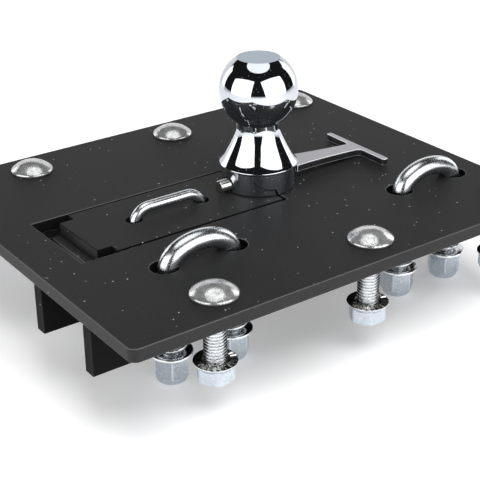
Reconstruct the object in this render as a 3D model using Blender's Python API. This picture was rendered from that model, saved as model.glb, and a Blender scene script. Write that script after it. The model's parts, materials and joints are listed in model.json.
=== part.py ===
"""Over-bed gooseneck hitch head: a steel deck plate on four rails, with a lift-up arm that carries the ball.

Metres, +Z up. The origin lies under the centre of the deck plate, level with the lowest nuts.
+X runs along the arm towards the ball end, -Y is the side with the two safety-chain U-bolts.
"""
import math

import bmesh
import bpy
from mathutils import Matrix, Vector

# Clearances
SEAT_GAP = 0.0003
BORE_CLEARANCE = 0.0002
EDGE_BREAK = 0.0005

# Facets of round pieces
ROUND_SEGMENTS = 20
HEX_SEGMENTS = 18
BALL_SEGMENTS = 32

# Deck plate
PLATE_LENGTH = 0.366
PLATE_WIDTH = 0.3048
PLATE_THICKNESS = 0.0095
PLATE_CORNER_RADIUS = 0.006

# Rails, flat bars on edge under the deck
RAIL_THICKNESS = 0.0095
RAIL_HEIGHT = 0.034
OUTER_RAIL_SHARE = 0.64
FAR_RAIL_SETBACK = 0.0015

# Hitch ball, heights above the deck
BALL_FROM_MIDDLE_BOLT = 0.003
BALL_DIAMETER = 0.0587
BALL_FLAT_RADIUS = 0.016
NECK_RADIUS = 0.0157
NECK_LENGTH = 0.0036
FLARE_RADIUS = 0.024
CONE_ANGLE = math.radians(36)
RIM_RADIUS = 0.0296
RIM_HEIGHT = 0.0195
RIM_LIP = 0.0007
COLLAR_RADIUS = 0.0283
COLLAR_CHAMFER = 0.0008
SHANK_RADIUS = 0.0158
SHANK_STICK_OUT = 0.002
BALL_NUT_FLATS = 0.0445
BALL_NUT_HEIGHT = 0.019
BALL_WASHER_THICKNESS = 0.0035
BALL_WASHER_SLOT = 0.003

# Ball arm, the inset plate
NOSE_COVER = 0.0018
NOSE_CLEARANCE = 0.0013
NOSE_TO_RAIL = 0.0008
ARM_BRIDGE = 0.0315
ARM_END_SETBACK = 0.0032
ARM_END_CLEARANCE = 0.0027
ARM_SIDE_CLEARANCE = 0.00155
ARM_EDGE_SETBACK = 0.0012
TONGUE_LENGTH = 0.0111
TONGUE_CLEARANCE = 0.0004
POCKET_LENGTH = 0.0175

# Arm hinge
PIVOT_INSET = 0.0015
PIVOT_PIN_RADIUS = 0.00475
LUG_RADIUS = 0.008
LUG_CLEARANCE = 0.0005
PIVOT_HEAD_RADIUS = 0.0075
PIVOT_HEAD_THICKNESS = 0.004
PIVOT_WASHER_RADIUS = 0.0078
PIVOT_WASHER_THICKNESS = 0.0018
PIVOT_TAIL = 0.004
COTTER_WIRE_RADIUS = 0.0007
COTTER_EYE_RADIUS = 0.0023
COTTER_SPREAD = 0.0035

# Pull pin with its T-shaped handle
PIN_HEIGHT = 0.0059
PIN_RADIUS = 0.00475
PIN_TAIL = 0.037
PIN_END_CHAMFER = 0.0006
SPOT_FACE_RADIUS = 0.0062
SPOT_FACE_DEPTH = 0.0011
HANDLE_THICKNESS = 0.0055
HANDLE_LIFT = 0.001
HANDLE_REACH = 0.1015
HANDLE_DROP = 0.0045
STEM_ROOT_WIDTH = 0.023
STEM_END_WIDTH = 0.0142
STEM_FILLET = 0.0035
CROSSBAR_LENGTH = 0.070
CROSSBAR_DEPTH = 0.0055
CROSSBAR_ROUND = 0.002
PIN_SOCKET_DEPTH = 0.006

# Grab handle in the arm
GRAB_FROM_BALL = 0.0820
GRAB_SPACING = 0.0578
GRAB_ROD_RADIUS = 0.004
GRAB_RISE = 0.0073
GRAB_BEND_RADIUS = 0.0124
GRAB_HOLE_RADIUS = 0.006
GRAB_TRAVEL = 0.022
GRAB_WASHER_RADIUS = 0.0085
GRAB_WASHER_THICKNESS = 0.0016
GRAB_NUT_FLATS = 0.0127
GRAB_NUT_HEIGHT = 0.0068

# Safety-chain U-bolts
UBOLT_TO_BOLT_SHARE = 0.8
UBOLT_TO_RAIL = 0.0185
UBOLT_ROD_RADIUS = 0.00714
UBOLT_SPACING = 0.0508
UBOLT_ARCH_RISE = 0.0152
UBOLT_ARCH_SINK = 0.0032
UBOLT_HOLE_SPACING = 0.0544
UBOLT_HOLE_RADIUS = 0.011
UBOLT_DEPTH = 0.088
UBOLT_NUT_FLATS = 0.0238
UBOLT_NUT_HEIGHT = 0.0213
UBOLT_END_INSET = 0.0015
UBOLT_WASHER_RADIUS = 0.0155
UBOLT_WASHER_THICKNESS = 0.002
SPRING_WIRE_RADIUS = 0.0015
SPRING_CLEARANCE = 0.0016
SPRING_TURNS = 5
SPRING_POINTS_PER_TURN = 8

# Carriage bolts and flange nuts
BOLT_LEFT_INSET = 0.0775
BOLT_RIGHT_INSET = 0.0265
BOLT_SIDE_INSET = 0.0275
BOLT_RADIUS = 0.0079
BOLT_LENGTH = 0.0617
BOLT_HEAD_RADIUS = 0.0163
BOLT_HEAD_HEIGHT = 0.0084
BOLT_HEAD_EDGE = 0.001
BOLT_NECK_HALF_WIDTH = 0.0081
BOLT_NECK_HEIGHT = 0.008
BOLT_NECK_CLEARANCE = 0.0004
BED_NUT_FLATS = 0.0238
BED_NUT_HEIGHT = 0.0146
BED_NUT_FLANGE_RADIUS = 0.015
BED_NUT_FLANGE_HEIGHT = 0.004

# Places that follow from the sizes
DECK = UBOLT_DEPTH
DECK_UNDERSIDE = DECK - PLATE_THICKNESS
RAIL_TOP = DECK_UNDERSIDE - SEAT_GAP
BOLT_SPACING_X = (PLATE_LENGTH - BOLT_LEFT_INSET - BOLT_RIGHT_INSET) / 2
BOLT_MIDDLE_X = (BOLT_LEFT_INSET - BOLT_RIGHT_INSET) / 2
BOLT_ROW_Y = PLATE_WIDTH / 2 - BOLT_SIDE_INSET
BALL_OFFSET_X = BOLT_MIDDLE_X - BALL_FROM_MIDDLE_BOLT
OUTER_RAIL_Y = OUTER_RAIL_SHARE * PLATE_WIDTH / 2
UBOLT_ROW_Y = -(OUTER_RAIL_Y - RAIL_THICKNESS / 2 - UBOLT_TO_RAIL)
UBOLT_FROM_BALL = UBOLT_TO_BOLT_SHARE * BOLT_SPACING_X
ARM_REACH = PLATE_LENGTH / 2 + BALL_OFFSET_X - POCKET_LENGTH - ARM_BRIDGE
NOSE_RADIUS = COLLAR_RADIUS - NOSE_COVER
RAIL_INNER_FACE = NOSE_RADIUS + NOSE_TO_RAIL
INNER_RAIL_Y = RAIL_INNER_FACE + RAIL_THICKNESS / 2
RAIL_LEFT = -PLATE_LENGTH / 2
FAR_RAIL_LEFT = BALL_OFFSET_X - ARM_REACH - POCKET_LENGTH + FAR_RAIL_SETBACK
ARM_HALF_WIDTH = RAIL_INNER_FACE + RAIL_THICKNESS - ARM_EDGE_SETBACK
TONGUE_HALF_WIDTH = RAIL_INNER_FACE - TONGUE_CLEARANCE
PIVOT_X = BALL_OFFSET_X - ARM_REACH + PIVOT_INSET
PIVOT_Z = DECK_UNDERSIDE - SEAT_GAP - LUG_RADIUS
BOLT_PLACES = [
    (BOLT_MIDDLE_X + column * BOLT_SPACING_X, side * BOLT_ROW_Y)
    for side in (-1, 1)
    for column in (-1, 0, 1)
]


def clear_scene():
    for obj in list(bpy.data.objects):
        bpy.data.objects.remove(obj, do_unlink=True)


def material(name, colour, roughness, metallic):
    made = bpy.data.materials.new(name)
    made.use_nodes = True
    shader = made.node_tree.nodes["Principled BSDF"]
    shader.inputs["Base Color"].default_value = (*colour, 1)
    shader.inputs["Roughness"].default_value = roughness
    shader.inputs["Metallic"].default_value = metallic
    made.diffuse_color = (*colour, 1)
    return made


def world_place(obj):
    place = Vector(obj.location)
    while obj.parent:
        obj = obj.parent
        place += obj.location
    return place


def put(obj, place, parent=None):
    """Set an object at a place in world metres, under its parent empty."""
    bpy.context.scene.collection.objects.link(obj)
    obj.parent = parent
    obj.location = Vector(place) - (world_place(parent) if parent else Vector())
    return obj


def joint_empty(name, place, parent=None):
    return put(bpy.data.objects.new(name, None), place, parent)


def piece(name, mesh, finish, place, parent=None, smooth_angle=30):
    if not mesh.materials:
        mesh.materials.append(finish)
    mesh.shade_smooth()
    mesh.set_sharp_from_angle(angle=math.radians(smooth_angle))
    return put(bpy.data.objects.new(name, mesh), place, parent)


def edge_broken(mesh):
    """Break the mesh's sharp edges by the small amount that a dressed plate has."""
    bm = bmesh.new()
    bm.from_mesh(mesh)
    sharp = [e for e in bm.edges if e.is_manifold and e.calc_face_angle() > math.radians(40)]
    bmesh.ops.bevel(bm, geom=sharp, offset=EDGE_BREAK, affect="EDGES", segments=1, profile=0.5, material=-1)
    return bmesh_to_mesh(bm, mesh.name)


def bmesh_to_mesh(bm, name):
    bmesh.ops.remove_doubles(bm, verts=bm.verts, dist=1e-7)
    bmesh.ops.recalc_face_normals(bm, faces=bm.faces)
    mesh = bpy.data.meshes.new(name)
    bm.to_mesh(mesh)
    bm.free()
    return mesh


def arc(centre_x, centre_y, radius, start, end, steps):
    """Points of an arc in a plane, from one angle to another, in degrees."""
    angles = [math.radians(start + (end - start) * i / steps) for i in range(steps + 1)]
    return [(centre_x + radius * math.cos(a), centre_y + radius * math.sin(a)) for a in angles]


def prism(outline, low, high, name="prism"):
    """A plate with the given outline in X and Y, between two heights."""
    bm = bmesh.new()
    face = bm.faces.new([bm.verts.new((x, y, low)) for x, y in outline])
    grown = bmesh.ops.extrude_face_region(bm, geom=[face])
    risen = [v for v in grown["geom"] if isinstance(v, bmesh.types.BMVert)]
    bmesh.ops.translate(bm, verts=risen, vec=(0, 0, high - low))
    return bmesh_to_mesh(bm, name)


def turned(profile, segments=ROUND_SEGMENTS, closed=False, name="turned"):
    """A shape turned about Z from (radius, height) points. A closed profile makes a ring."""
    bm = bmesh.new()
    verts = [bm.verts.new((radius, 0, height)) for radius, height in profile]
    pairs = list(zip(verts, verts[1:]))
    if closed:
        pairs.append((verts[-1], verts[0]))
    edges = [bm.edges.new(pair) for pair in pairs]
    bmesh.ops.spin(
        bm,
        geom=verts + edges,
        axis=(0, 0, 1),
        cent=(0, 0, 0),
        angle=math.tau,
        steps=segments,
        use_merge=True,
    )
    return bmesh_to_mesh(bm, name)


def cylinder(radius, low, high, segments=ROUND_SEGMENTS):
    return turned([(0, low), (radius, low), (radius, high), (0, high)], segments)


def box(half_x, half_y, low, high):
    return prism([(-half_x, -half_y), (half_x, -half_y), (half_x, half_y), (-half_x, half_y)], low, high)


def moved(mesh, matrix):
    mesh.transform(matrix)
    return mesh


def shifted(mesh, x=0.0, y=0.0, z=0.0):
    return moved(mesh, Matrix.Translation((x, y, z)))


def along_x(mesh):
    return moved(mesh, Matrix.Rotation(math.pi / 2, 4, "Y"))


def along_y(mesh):
    return moved(mesh, Matrix.Rotation(-math.pi / 2, 4, "X"))


def combined(base, steps, name):
    """Boolean steps on a base mesh, each an operation and a second mesh."""
    body = put(bpy.data.objects.new(name, base), (0, 0, 0))
    tools = []
    for operation, mesh in steps:
        tool = put(bpy.data.objects.new(name + "_tool", mesh), (0, 0, 0))
        tool.display_type = "WIRE"
        tool.hide_render = True
        step = body.modifiers.new(operation.lower(), "BOOLEAN")
        step.operation = operation
        step.solver = "EXACT"
        step.object = tool
        tools.append(tool)
    graph = bpy.context.evaluated_depsgraph_get()
    result = bpy.data.meshes.new_from_object(body.evaluated_get(graph))
    result.name = name
    for obj in [body] + tools:
        bpy.data.objects.remove(obj, do_unlink=True)
    return result


def rod(name, points, radius, finish, place, parent=None, sides=3):
    """A round bar along a path of points, with closed ends."""
    curve = bpy.data.curves.new(name, "CURVE")
    curve.dimensions = "3D"
    curve.bevel_depth = radius
    curve.bevel_resolution = sides
    curve.use_fill_caps = True
    spline = curve.splines.new("POLY")
    spline.points.add(len(points) - 1)
    for knot, point in zip(spline.points, points):
        knot.co = (*point, 1)
    curve.materials.append(finish)
    return put(bpy.data.objects.new(name, curve), place, parent)


def rounded_rectangle(half_x, half_y, radius, steps=5):
    outline = []
    for sign_x, sign_y, start in ((1, 1, 0), (-1, 1, 90), (-1, -1, 180), (1, -1, 270)):
        corner = (sign_x * (half_x - radius), sign_y * (half_y - radius))
        outline += arc(*corner, radius, start, start + 90, steps)
    return outline


def inset_outline(half_width, square_end, nose_radius, left_end, steps=16):
    """A slot outline about the ball axis: square on the left, a narrower round nose on the right."""
    nose = arc(0, 0, nose_radius, -90, 90, steps)
    start = [(left_end, -half_width), (square_end, -half_width), (square_end, -nose_radius)]
    finish = [(square_end, nose_radius), (square_end, half_width), (left_end, half_width)]
    return start + nose + finish


def main_plate(finish):
    outline = rounded_rectangle(PLATE_LENGTH / 2, PLATE_WIDTH / 2, PLATE_CORNER_RADIUS)
    plate = edge_broken(prism(outline, -PLATE_THICKNESS, 0))
    over = PLATE_THICKNESS
    opening = prism(
        inset_outline(
            ARM_HALF_WIDTH + ARM_SIDE_CLEARANCE,
            ARM_END_CLEARANCE - ARM_END_SETBACK,
            NOSE_RADIUS + NOSE_CLEARANCE,
            -ARM_REACH - POCKET_LENGTH,
        ),
        -2 * over,
        over,
    )
    cuts = [("DIFFERENCE", shifted(opening, x=BALL_OFFSET_X))]
    for x, y in BOLT_PLACES:
        half = BOLT_NECK_HALF_WIDTH + BOLT_NECK_CLEARANCE
        cuts.append(("DIFFERENCE", shifted(box(half, half, -2 * over, over), x, y)))
    for side in (-1, 1):
        for leg in (-1, 1):
            x = BALL_OFFSET_X + side * UBOLT_FROM_BALL + leg * UBOLT_HOLE_SPACING / 2
            hole = cylinder(UBOLT_HOLE_RADIUS, -2 * over, over)
            cuts.append(("DIFFERENCE", shifted(hole, x, UBOLT_ROW_Y)))
    mesh = combined(plate, cuts, "main_plate")
    piece("main_plate", mesh, finish, (0, 0, DECK))


def rail(name, centre_y, left_end, finish, pin_hole):
    right_end = PLATE_LENGTH / 2
    block = box((right_end - left_end) / 2, RAIL_THICKNESS / 2, -RAIL_HEIGHT, 0)
    bar = edge_broken(shifted(block, x=(right_end + left_end) / 2))
    if pin_hole:
        reach = RAIL_THICKNESS
        hole = along_y(cylinder(PIVOT_PIN_RADIUS + BORE_CLEARANCE, -reach, reach))
        hole = shifted(hole, x=PIVOT_X, z=PIVOT_Z - RAIL_TOP)
        bar = combined(bar, [("DIFFERENCE", hole)], name)
    piece(name, bar, finish, (0, centre_y, RAIL_TOP))


def rails(finish):
    """Four bars. The far one beside the arm stops short of the deck's left end, under the opening's edge."""
    rail("rail_outer_near", -OUTER_RAIL_Y, RAIL_LEFT, finish, False)
    rail("rail_inner_near", -INNER_RAIL_Y, RAIL_LEFT, finish, True)
    rail("rail_inner_far", INNER_RAIL_Y, FAR_RAIL_LEFT, finish, True)
    rail("rail_outer_far", OUTER_RAIL_Y, RAIL_LEFT, finish, False)


def hex_mesh(flats, low, high):
    corner = flats / 2 / math.cos(math.pi / 6)
    return prism(arc(0, 0, corner, 0, 300, 5), low, high)


def hex_body(flats, low, high, chamfer_low, chamfer_high):
    """A hexagon whose corners are turned off at one end or at both."""
    corner = flats / 2 / math.cos(math.pi / 6)
    bite = corner - flats / 2 * 0.98
    fall = bite * math.tan(math.radians(30))
    envelope = [(0, low)]
    if chamfer_low:
        envelope.append((corner - bite, low))
    envelope += [(corner * 1.1, low + (fall * 1.6 if chamfer_low else 0))]
    envelope += [(corner * 1.1, high - (fall * 1.6 if chamfer_high else 0))]
    if chamfer_high:
        envelope.append((corner - bite, high))
    envelope.append((0, high))
    return hex_mesh(flats, low, high), ("INTERSECT", turned(envelope, HEX_SEGMENTS))


def carriage_bolt_mesh():
    """Domed head, square neck and round shank. The head's underside is at height 0."""
    rise = BOLT_HEAD_HEIGHT - BOLT_HEAD_EDGE
    dome_radius = (BOLT_HEAD_RADIUS**2 + rise**2) / (2 * rise)
    half_angle = math.degrees(math.asin(BOLT_HEAD_RADIUS / dome_radius))
    centre = BOLT_HEAD_HEIGHT - dome_radius
    dome = arc(0, centre, dome_radius, 90 - half_angle, 90, 4)
    profile = [(0, -BOLT_LENGTH), (BOLT_RADIUS * 0.88, -BOLT_LENGTH)]
    profile += [(BOLT_RADIUS, -BOLT_LENGTH + BOLT_RADIUS * 0.12), (BOLT_RADIUS, 0)]
    profile += [(BOLT_HEAD_RADIUS, 0)] + dome[:-1] + [(0, BOLT_HEAD_HEIGHT)]
    neck = box(BOLT_NECK_HALF_WIDTH, BOLT_NECK_HALF_WIDTH, -BOLT_NECK_HEIGHT, SEAT_GAP)
    return combined(turned(profile), [("UNION", neck)], "carriage_bolt")


def flange_nut_mesh():
    """Hexagon under a coned flange. The flange's top is at height 0."""
    body, chamfer = hex_body(BED_NUT_FLATS, -BED_NUT_HEIGHT, -BED_NUT_FLANGE_HEIGHT / 4, True, False)
    edge = BED_NUT_FLANGE_HEIGHT * 0.35
    flange = turned(
        [
            (0, -BED_NUT_FLANGE_HEIGHT),
            (BED_NUT_FLATS * 0.53, -BED_NUT_FLANGE_HEIGHT),
            (BED_NUT_FLANGE_RADIUS, -edge),
            (BED_NUT_FLANGE_RADIUS, -edge * 0.3),
            (BED_NUT_FLANGE_RADIUS - edge * 0.5, 0),
            (0, 0),
        ]
    )
    bore = cylinder(BOLT_RADIUS + BORE_CLEARANCE, -2 * BED_NUT_HEIGHT, BED_NUT_HEIGHT)
    steps = [chamfer, ("UNION", flange), ("DIFFERENCE", bore)]
    return combined(body, steps, "flange_nut")


def bed_bolts(bolt_finish, nut_finish):
    bolt = carriage_bolt_mesh()
    nut = flange_nut_mesh()
    nut_top = DECK - BOLT_LENGTH + BED_NUT_HEIGHT
    for number, (x, y) in enumerate(BOLT_PLACES, start=1):
        piece(f"bed_bolt_{number}", bolt, bolt_finish, (x, y, DECK + SEAT_GAP))
        piece(f"bed_nut_{number}", nut, nut_finish, (x, y, nut_top))


def plate_arm_mesh():
    """The inset plate about the ball axis, with its tongue, nose, shank hole and handle holes."""
    left = -ARM_REACH + TONGUE_LENGTH
    outline = inset_outline(ARM_HALF_WIDTH, -ARM_END_SETBACK, NOSE_RADIUS, left)
    tongue = [(-ARM_REACH, TONGUE_HALF_WIDTH), (-ARM_REACH, -TONGUE_HALF_WIDTH)]
    outline += [(left, TONGUE_HALF_WIDTH)] + tongue + [(left, -TONGUE_HALF_WIDTH)]
    over = PLATE_THICKNESS
    cuts = [("DIFFERENCE", cylinder(SHANK_RADIUS + SEAT_GAP, -2 * over, over, BALL_SEGMENTS))]
    for side in (-1, 1):
        hole = cylinder(GRAB_HOLE_RADIUS, -2 * over, over)
        cuts.append(("DIFFERENCE", shifted(hole, x=-GRAB_FROM_BALL + side * GRAB_SPACING / 2)))
    return combined(edge_broken(prism(outline, -PLATE_THICKNESS, 0)), cuts, "arm_plate")


def hinge_lug_mesh():
    """A lug with a round underside and a flat top, bored along Y for the pivot pin."""
    half = RAIL_INNER_FACE - LUG_CLEARANCE
    outline = [(LUG_RADIUS, LUG_RADIUS), (-LUG_RADIUS, LUG_RADIUS)] + arc(0, 0, LUG_RADIUS, 180, 360, 12)
    lug = moved(prism(outline, -half, half), Matrix.Rotation(math.pi / 2, 4, "X"))
    bore = along_y(cylinder(PIVOT_PIN_RADIUS + BORE_CLEARANCE, -2 * half, 2 * half))
    return combined(lug, [("DIFFERENCE", bore)], "hinge_lug")


def pivot_pin(pin_finish, washer_finish, cotter_finish):
    outer_face = RAIL_INNER_FACE + RAIL_THICKNESS
    head = -outer_face - SEAT_GAP
    washer_at = outer_face + SEAT_GAP
    cotter_at = washer_at + PIVOT_WASHER_THICKNESS + SEAT_GAP + 3 * COTTER_WIRE_RADIUS
    tail = cotter_at + PIVOT_TAIL
    chamfer = PIVOT_PIN_RADIUS * 0.15
    profile = [
        (0, head - PIVOT_HEAD_THICKNESS),
        (PIVOT_HEAD_RADIUS - chamfer, head - PIVOT_HEAD_THICKNESS),
        (PIVOT_HEAD_RADIUS, head - PIVOT_HEAD_THICKNESS + chamfer),
        (PIVOT_HEAD_RADIUS, head),
        (PIVOT_PIN_RADIUS, head),
        (PIVOT_PIN_RADIUS, tail - chamfer),
        (PIVOT_PIN_RADIUS - chamfer, tail),
        (0, tail),
    ]
    cross_hole = along_x(cylinder(3 * COTTER_WIRE_RADIUS, -2 * PIVOT_PIN_RADIUS, 2 * PIVOT_PIN_RADIUS, 12))
    cross_hole = shifted(cross_hole, y=cotter_at)
    mesh = combined(along_y(turned(profile)), [("DIFFERENCE", cross_hole)], "pivot_pin")
    place = (PIVOT_X, 0, PIVOT_Z)
    piece("pivot_pin", mesh, pin_finish, place)
    washer = along_y(washer_mesh(PIVOT_PIN_RADIUS, PIVOT_WASHER_RADIUS, PIVOT_WASHER_THICKNESS))
    piece("pivot_washer", washer, washer_finish, (PIVOT_X, washer_at, PIVOT_Z))
    rod("cotter_pin", cotter_path(), COTTER_WIRE_RADIUS, cotter_finish, (PIVOT_X, cotter_at, PIVOT_Z), sides=1)


def cotter_path():
    """A split pin along X: an eye on the right, two legs side by side, their tips bent apart."""
    half_gap = COTTER_WIRE_RADIUS * 1.15
    eye_at = PIVOT_PIN_RADIUS + COTTER_EYE_RADIUS + COTTER_WIRE_RADIUS
    open_angle = math.degrees(math.asin(half_gap / COTTER_EYE_RADIUS))
    eye = arc(eye_at, 0, COTTER_EYE_RADIUS, -180 + open_angle, 180 - open_angle, 12)
    leg_end = -PIVOT_PIN_RADIUS - COTTER_WIRE_RADIUS
    bend = [(leg_end, half_gap), (leg_end - COTTER_SPREAD / 2, half_gap + COTTER_SPREAD)]
    far = [(x, y) for x, y in bend]
    near = [(x, -y) for x, y in reversed(bend)]
    return [(x, 0, z) for x, z in near + eye + far]


def washer_mesh(bore, outer, thickness, segments=ROUND_SEGMENTS):
    """A flat washer whose lower face is at height 0."""
    inner = bore + BORE_CLEARANCE
    section = [(inner, 0), (outer, 0), (outer, thickness), (inner, thickness)]
    return turned(section, segments, closed=True)


def ball_profile():
    """Radius and height of the turned ball, from the end of its shank to the flat on top."""
    bottom = -PLATE_THICKNESS - BALL_WASHER_THICKNESS - BALL_NUT_HEIGHT - 2 * SEAT_GAP - SHANK_STICK_OUT
    chamfer = SHANK_RADIUS * 0.1
    shank = [(0, bottom), (SHANK_RADIUS - chamfer, bottom), (SHANK_RADIUS, bottom + chamfer)]
    shank.append((SHANK_RADIUS, SEAT_GAP))
    collar_top = RIM_HEIGHT - RIM_LIP - (RIM_RADIUS - COLLAR_RADIUS) / 2
    collar = [
        (COLLAR_RADIUS - COLLAR_CHAMFER, SEAT_GAP),
        (COLLAR_RADIUS, SEAT_GAP + COLLAR_CHAMFER),
        (COLLAR_RADIUS, collar_top),
        (RIM_RADIUS, RIM_HEIGHT - RIM_LIP),
        (RIM_RADIUS, RIM_HEIGHT),
    ]
    flare_end = NECK_RADIUS + FLARE_RADIUS * (1 - math.cos(CONE_ANGLE))
    cone_top = RIM_HEIGHT + (RIM_RADIUS - flare_end) / math.tan(CONE_ANGLE)
    neck_foot = cone_top + FLARE_RADIUS * math.sin(CONE_ANGLE)
    centre_x = NECK_RADIUS + FLARE_RADIUS
    flare = arc(centre_x, neck_foot, FLARE_RADIUS, 180 + math.degrees(CONE_ANGLE), 180, 5)
    ball_radius = BALL_DIAMETER / 2
    low = math.degrees(math.acos(NECK_RADIUS / ball_radius))
    high = math.degrees(math.acos(BALL_FLAT_RADIUS / ball_radius))
    ball_centre = neck_foot + NECK_LENGTH + math.sqrt(ball_radius**2 - NECK_RADIUS**2)
    ball = arc(0, ball_centre, ball_radius, -low, high, 12)
    return shank + collar + flare + ball + [(0, ball[-1][1])]


def ball_mesh():
    """The turned ball with the cross bore for the pull pin and a spot face at each end of it."""
    reach = 2 * COLLAR_RADIUS
    bore = along_x(cylinder(PIN_RADIUS + BORE_CLEARANCE, -reach, reach))
    cuts = [("DIFFERENCE", shifted(bore, z=PIN_HEIGHT))]
    for side in (-1, 1):
        face = along_x(cylinder(SPOT_FACE_RADIUS, -SPOT_FACE_DEPTH, SPOT_FACE_DEPTH))
        spot = shifted(face, x=side * COLLAR_RADIUS, z=PIN_HEIGHT + SEAT_GAP)
        cuts.append(("DIFFERENCE", spot))
    return combined(turned(ball_profile(), BALL_SEGMENTS), cuts, "hitch_ball")


def ball_washer_mesh():
    """A split spring washer, cut through on the +X side."""
    outer = NOSE_RADIUS - ARM_EDGE_SETBACK
    ring = washer_mesh(SHANK_RADIUS, outer, BALL_WASHER_THICKNESS, BALL_SEGMENTS)
    slot = box(NOSE_RADIUS, BALL_WASHER_SLOT / 2, -BALL_WASHER_THICKNESS, 2 * BALL_WASHER_THICKNESS)
    return combined(ring, [("DIFFERENCE", shifted(slot, x=NOSE_RADIUS))], "ball_washer")


def plain_nut_mesh(flats, height, bore, name, segments=ROUND_SEGMENTS):
    body, chamfer = hex_body(flats, -height, 0, True, True)
    hole = cylinder(bore + BORE_CLEARANCE, -2 * height, height, segments)
    return combined(body, [chamfer, ("DIFFERENCE", hole)], name)


def lock_nut_mesh(flats, height, bore, name):
    """A nut with a domed collar at its lower end that holds the locking ring."""
    collar = height * 0.26
    body, chamfer = hex_body(flats, -height + collar, 0, True, True)
    outer = flats / 2 * 0.94
    dome = [(0, -height), (outer * 0.72, -height)] + arc(outer * 0.72, collar - height, outer * 0.28, -60, 0, 2)
    dome_mesh = turned(dome + [(outer, collar * 1.6 - height), (0, collar * 1.6 - height)])
    hole = cylinder(bore + BORE_CLEARANCE, -2 * height, height)
    return combined(body, [chamfer, ("UNION", dome_mesh), ("DIFFERENCE", hole)], name)


def swing_arm(arm_finish, lug_finish, ball_finish, hardware_finish):
    pivot = joint_empty("arm_pivot", (PIVOT_X, 0, PIVOT_Z))
    axis_on_deck = (BALL_OFFSET_X, 0, DECK)
    piece("arm_plate", plate_arm_mesh(), arm_finish, axis_on_deck, pivot)
    piece("hinge_lug", hinge_lug_mesh(), lug_finish, (PIVOT_X, 0, PIVOT_Z), pivot)
    piece("hitch_ball", ball_mesh(), ball_finish, axis_on_deck, pivot)
    washer_at = DECK_UNDERSIDE - SEAT_GAP - BALL_WASHER_THICKNESS
    nut_at = washer_at - SEAT_GAP
    piece("ball_washer", ball_washer_mesh(), hardware_finish, (BALL_OFFSET_X, 0, washer_at), pivot)
    nut = plain_nut_mesh(BALL_NUT_FLATS, BALL_NUT_HEIGHT, SHANK_RADIUS, "ball_nut", BALL_SEGMENTS)
    piece("ball_nut", nut, hardware_finish, (BALL_OFFSET_X, 0, nut_at), pivot)
    return pivot


def handle_outline():
    """The T seen from above, about the ball axis: stem, fillets and crossbar, with a notch for the pin."""
    root = COLLAR_RADIUS + SEAT_GAP * 2
    inner = HANDLE_REACH - CROSSBAR_DEPTH
    half_bar = CROSSBAR_LENGTH / 2
    half_end = STEM_END_WIDTH / 2
    half_root = STEM_ROOT_WIDTH / 2
    notch = PIN_RADIUS + SEAT_GAP
    fillet = arc(inner - STEM_FILLET, half_end + STEM_FILLET, STEM_FILLET, -90, 0, 4)
    bar_in = arc(inner + CROSSBAR_ROUND, half_bar - CROSSBAR_ROUND, CROSSBAR_ROUND, 180, 90, 3)
    bar_out = arc(HANDLE_REACH - CROSSBAR_ROUND, half_bar - CROSSBAR_ROUND, CROSSBAR_ROUND, 90, 0, 3)
    waist = stem_edge(root, half_root, inner - STEM_FILLET, half_end, 6)
    upper = [(root, notch)] + waist[:-1] + fillet + bar_in + bar_out
    lower = [(x, -y) for x, y in reversed(upper)]
    socket = [(root + PIN_SOCKET_DEPTH, -notch), (root + PIN_SOCKET_DEPTH, notch)]
    return upper + lower + socket


def stem_edge(x_low, y_low, x_high, y_high, steps):
    """One edge of the stem: falls from its root width to its end width and runs out level."""
    points = []
    for i in range(steps + 1):
        t = i / steps
        points.append((x_low + (x_high - x_low) * t, y_high + (y_low - y_high) * (1 - t) ** 2))
    return points


def sloped_down(mesh):
    """Lifts the handle at its root, so that it falls towards the crossbar."""
    root = COLLAR_RADIUS + SEAT_GAP * 2
    for vertex in mesh.vertices:
        share = (HANDLE_REACH - vertex.co.x) / (HANDLE_REACH - root)
        vertex.co.z += HANDLE_DROP * share
    return mesh


def lock_pin(rod_finish, handle_finish, arm_pivot):
    guide = joint_empty("pin_guide", (BALL_OFFSET_X, 0, DECK + PIN_HEIGHT), arm_pivot)
    tip = COLLAR_RADIUS + SEAT_GAP + PIN_SOCKET_DEPTH
    profile = [
        (0, -PIN_TAIL),
        (PIN_RADIUS - PIN_END_CHAMFER, -PIN_TAIL),
        (PIN_RADIUS, -PIN_TAIL + PIN_END_CHAMFER),
        (PIN_RADIUS, tip),
        (0, tip),
    ]
    place = (BALL_OFFSET_X, 0, DECK + PIN_HEIGHT)
    piece("lock_pin_rod", along_x(turned(profile)), rod_finish, place, guide)
    plate = sloped_down(edge_broken(prism(handle_outline(), 0, HANDLE_THICKNESS)))
    piece("lock_pin_handle", plate, handle_finish, (BALL_OFFSET_X, 0, DECK + HANDLE_LIFT), guide)


def grab_path():
    """Centre line of the grab handle: a leg, a bend, the grip, a bend and a leg, in X and Z."""
    half = GRAB_SPACING / 2
    foot = -PLATE_THICKNESS - GRAB_TRAVEL - GRAB_WASHER_THICKNESS - GRAB_NUT_HEIGHT - 4 * SEAT_GAP
    corner = (half - GRAB_BEND_RADIUS, GRAB_RISE - GRAB_BEND_RADIUS)
    bend = arc(*corner, GRAB_BEND_RADIUS, 90, 0, 6)
    right = bend + [(half, foot - GRAB_ROD_RADIUS / 2)]
    left = [(-x, z) for x, z in reversed(right)]
    return [(x, 0, z) for x, z in left + right]


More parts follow.
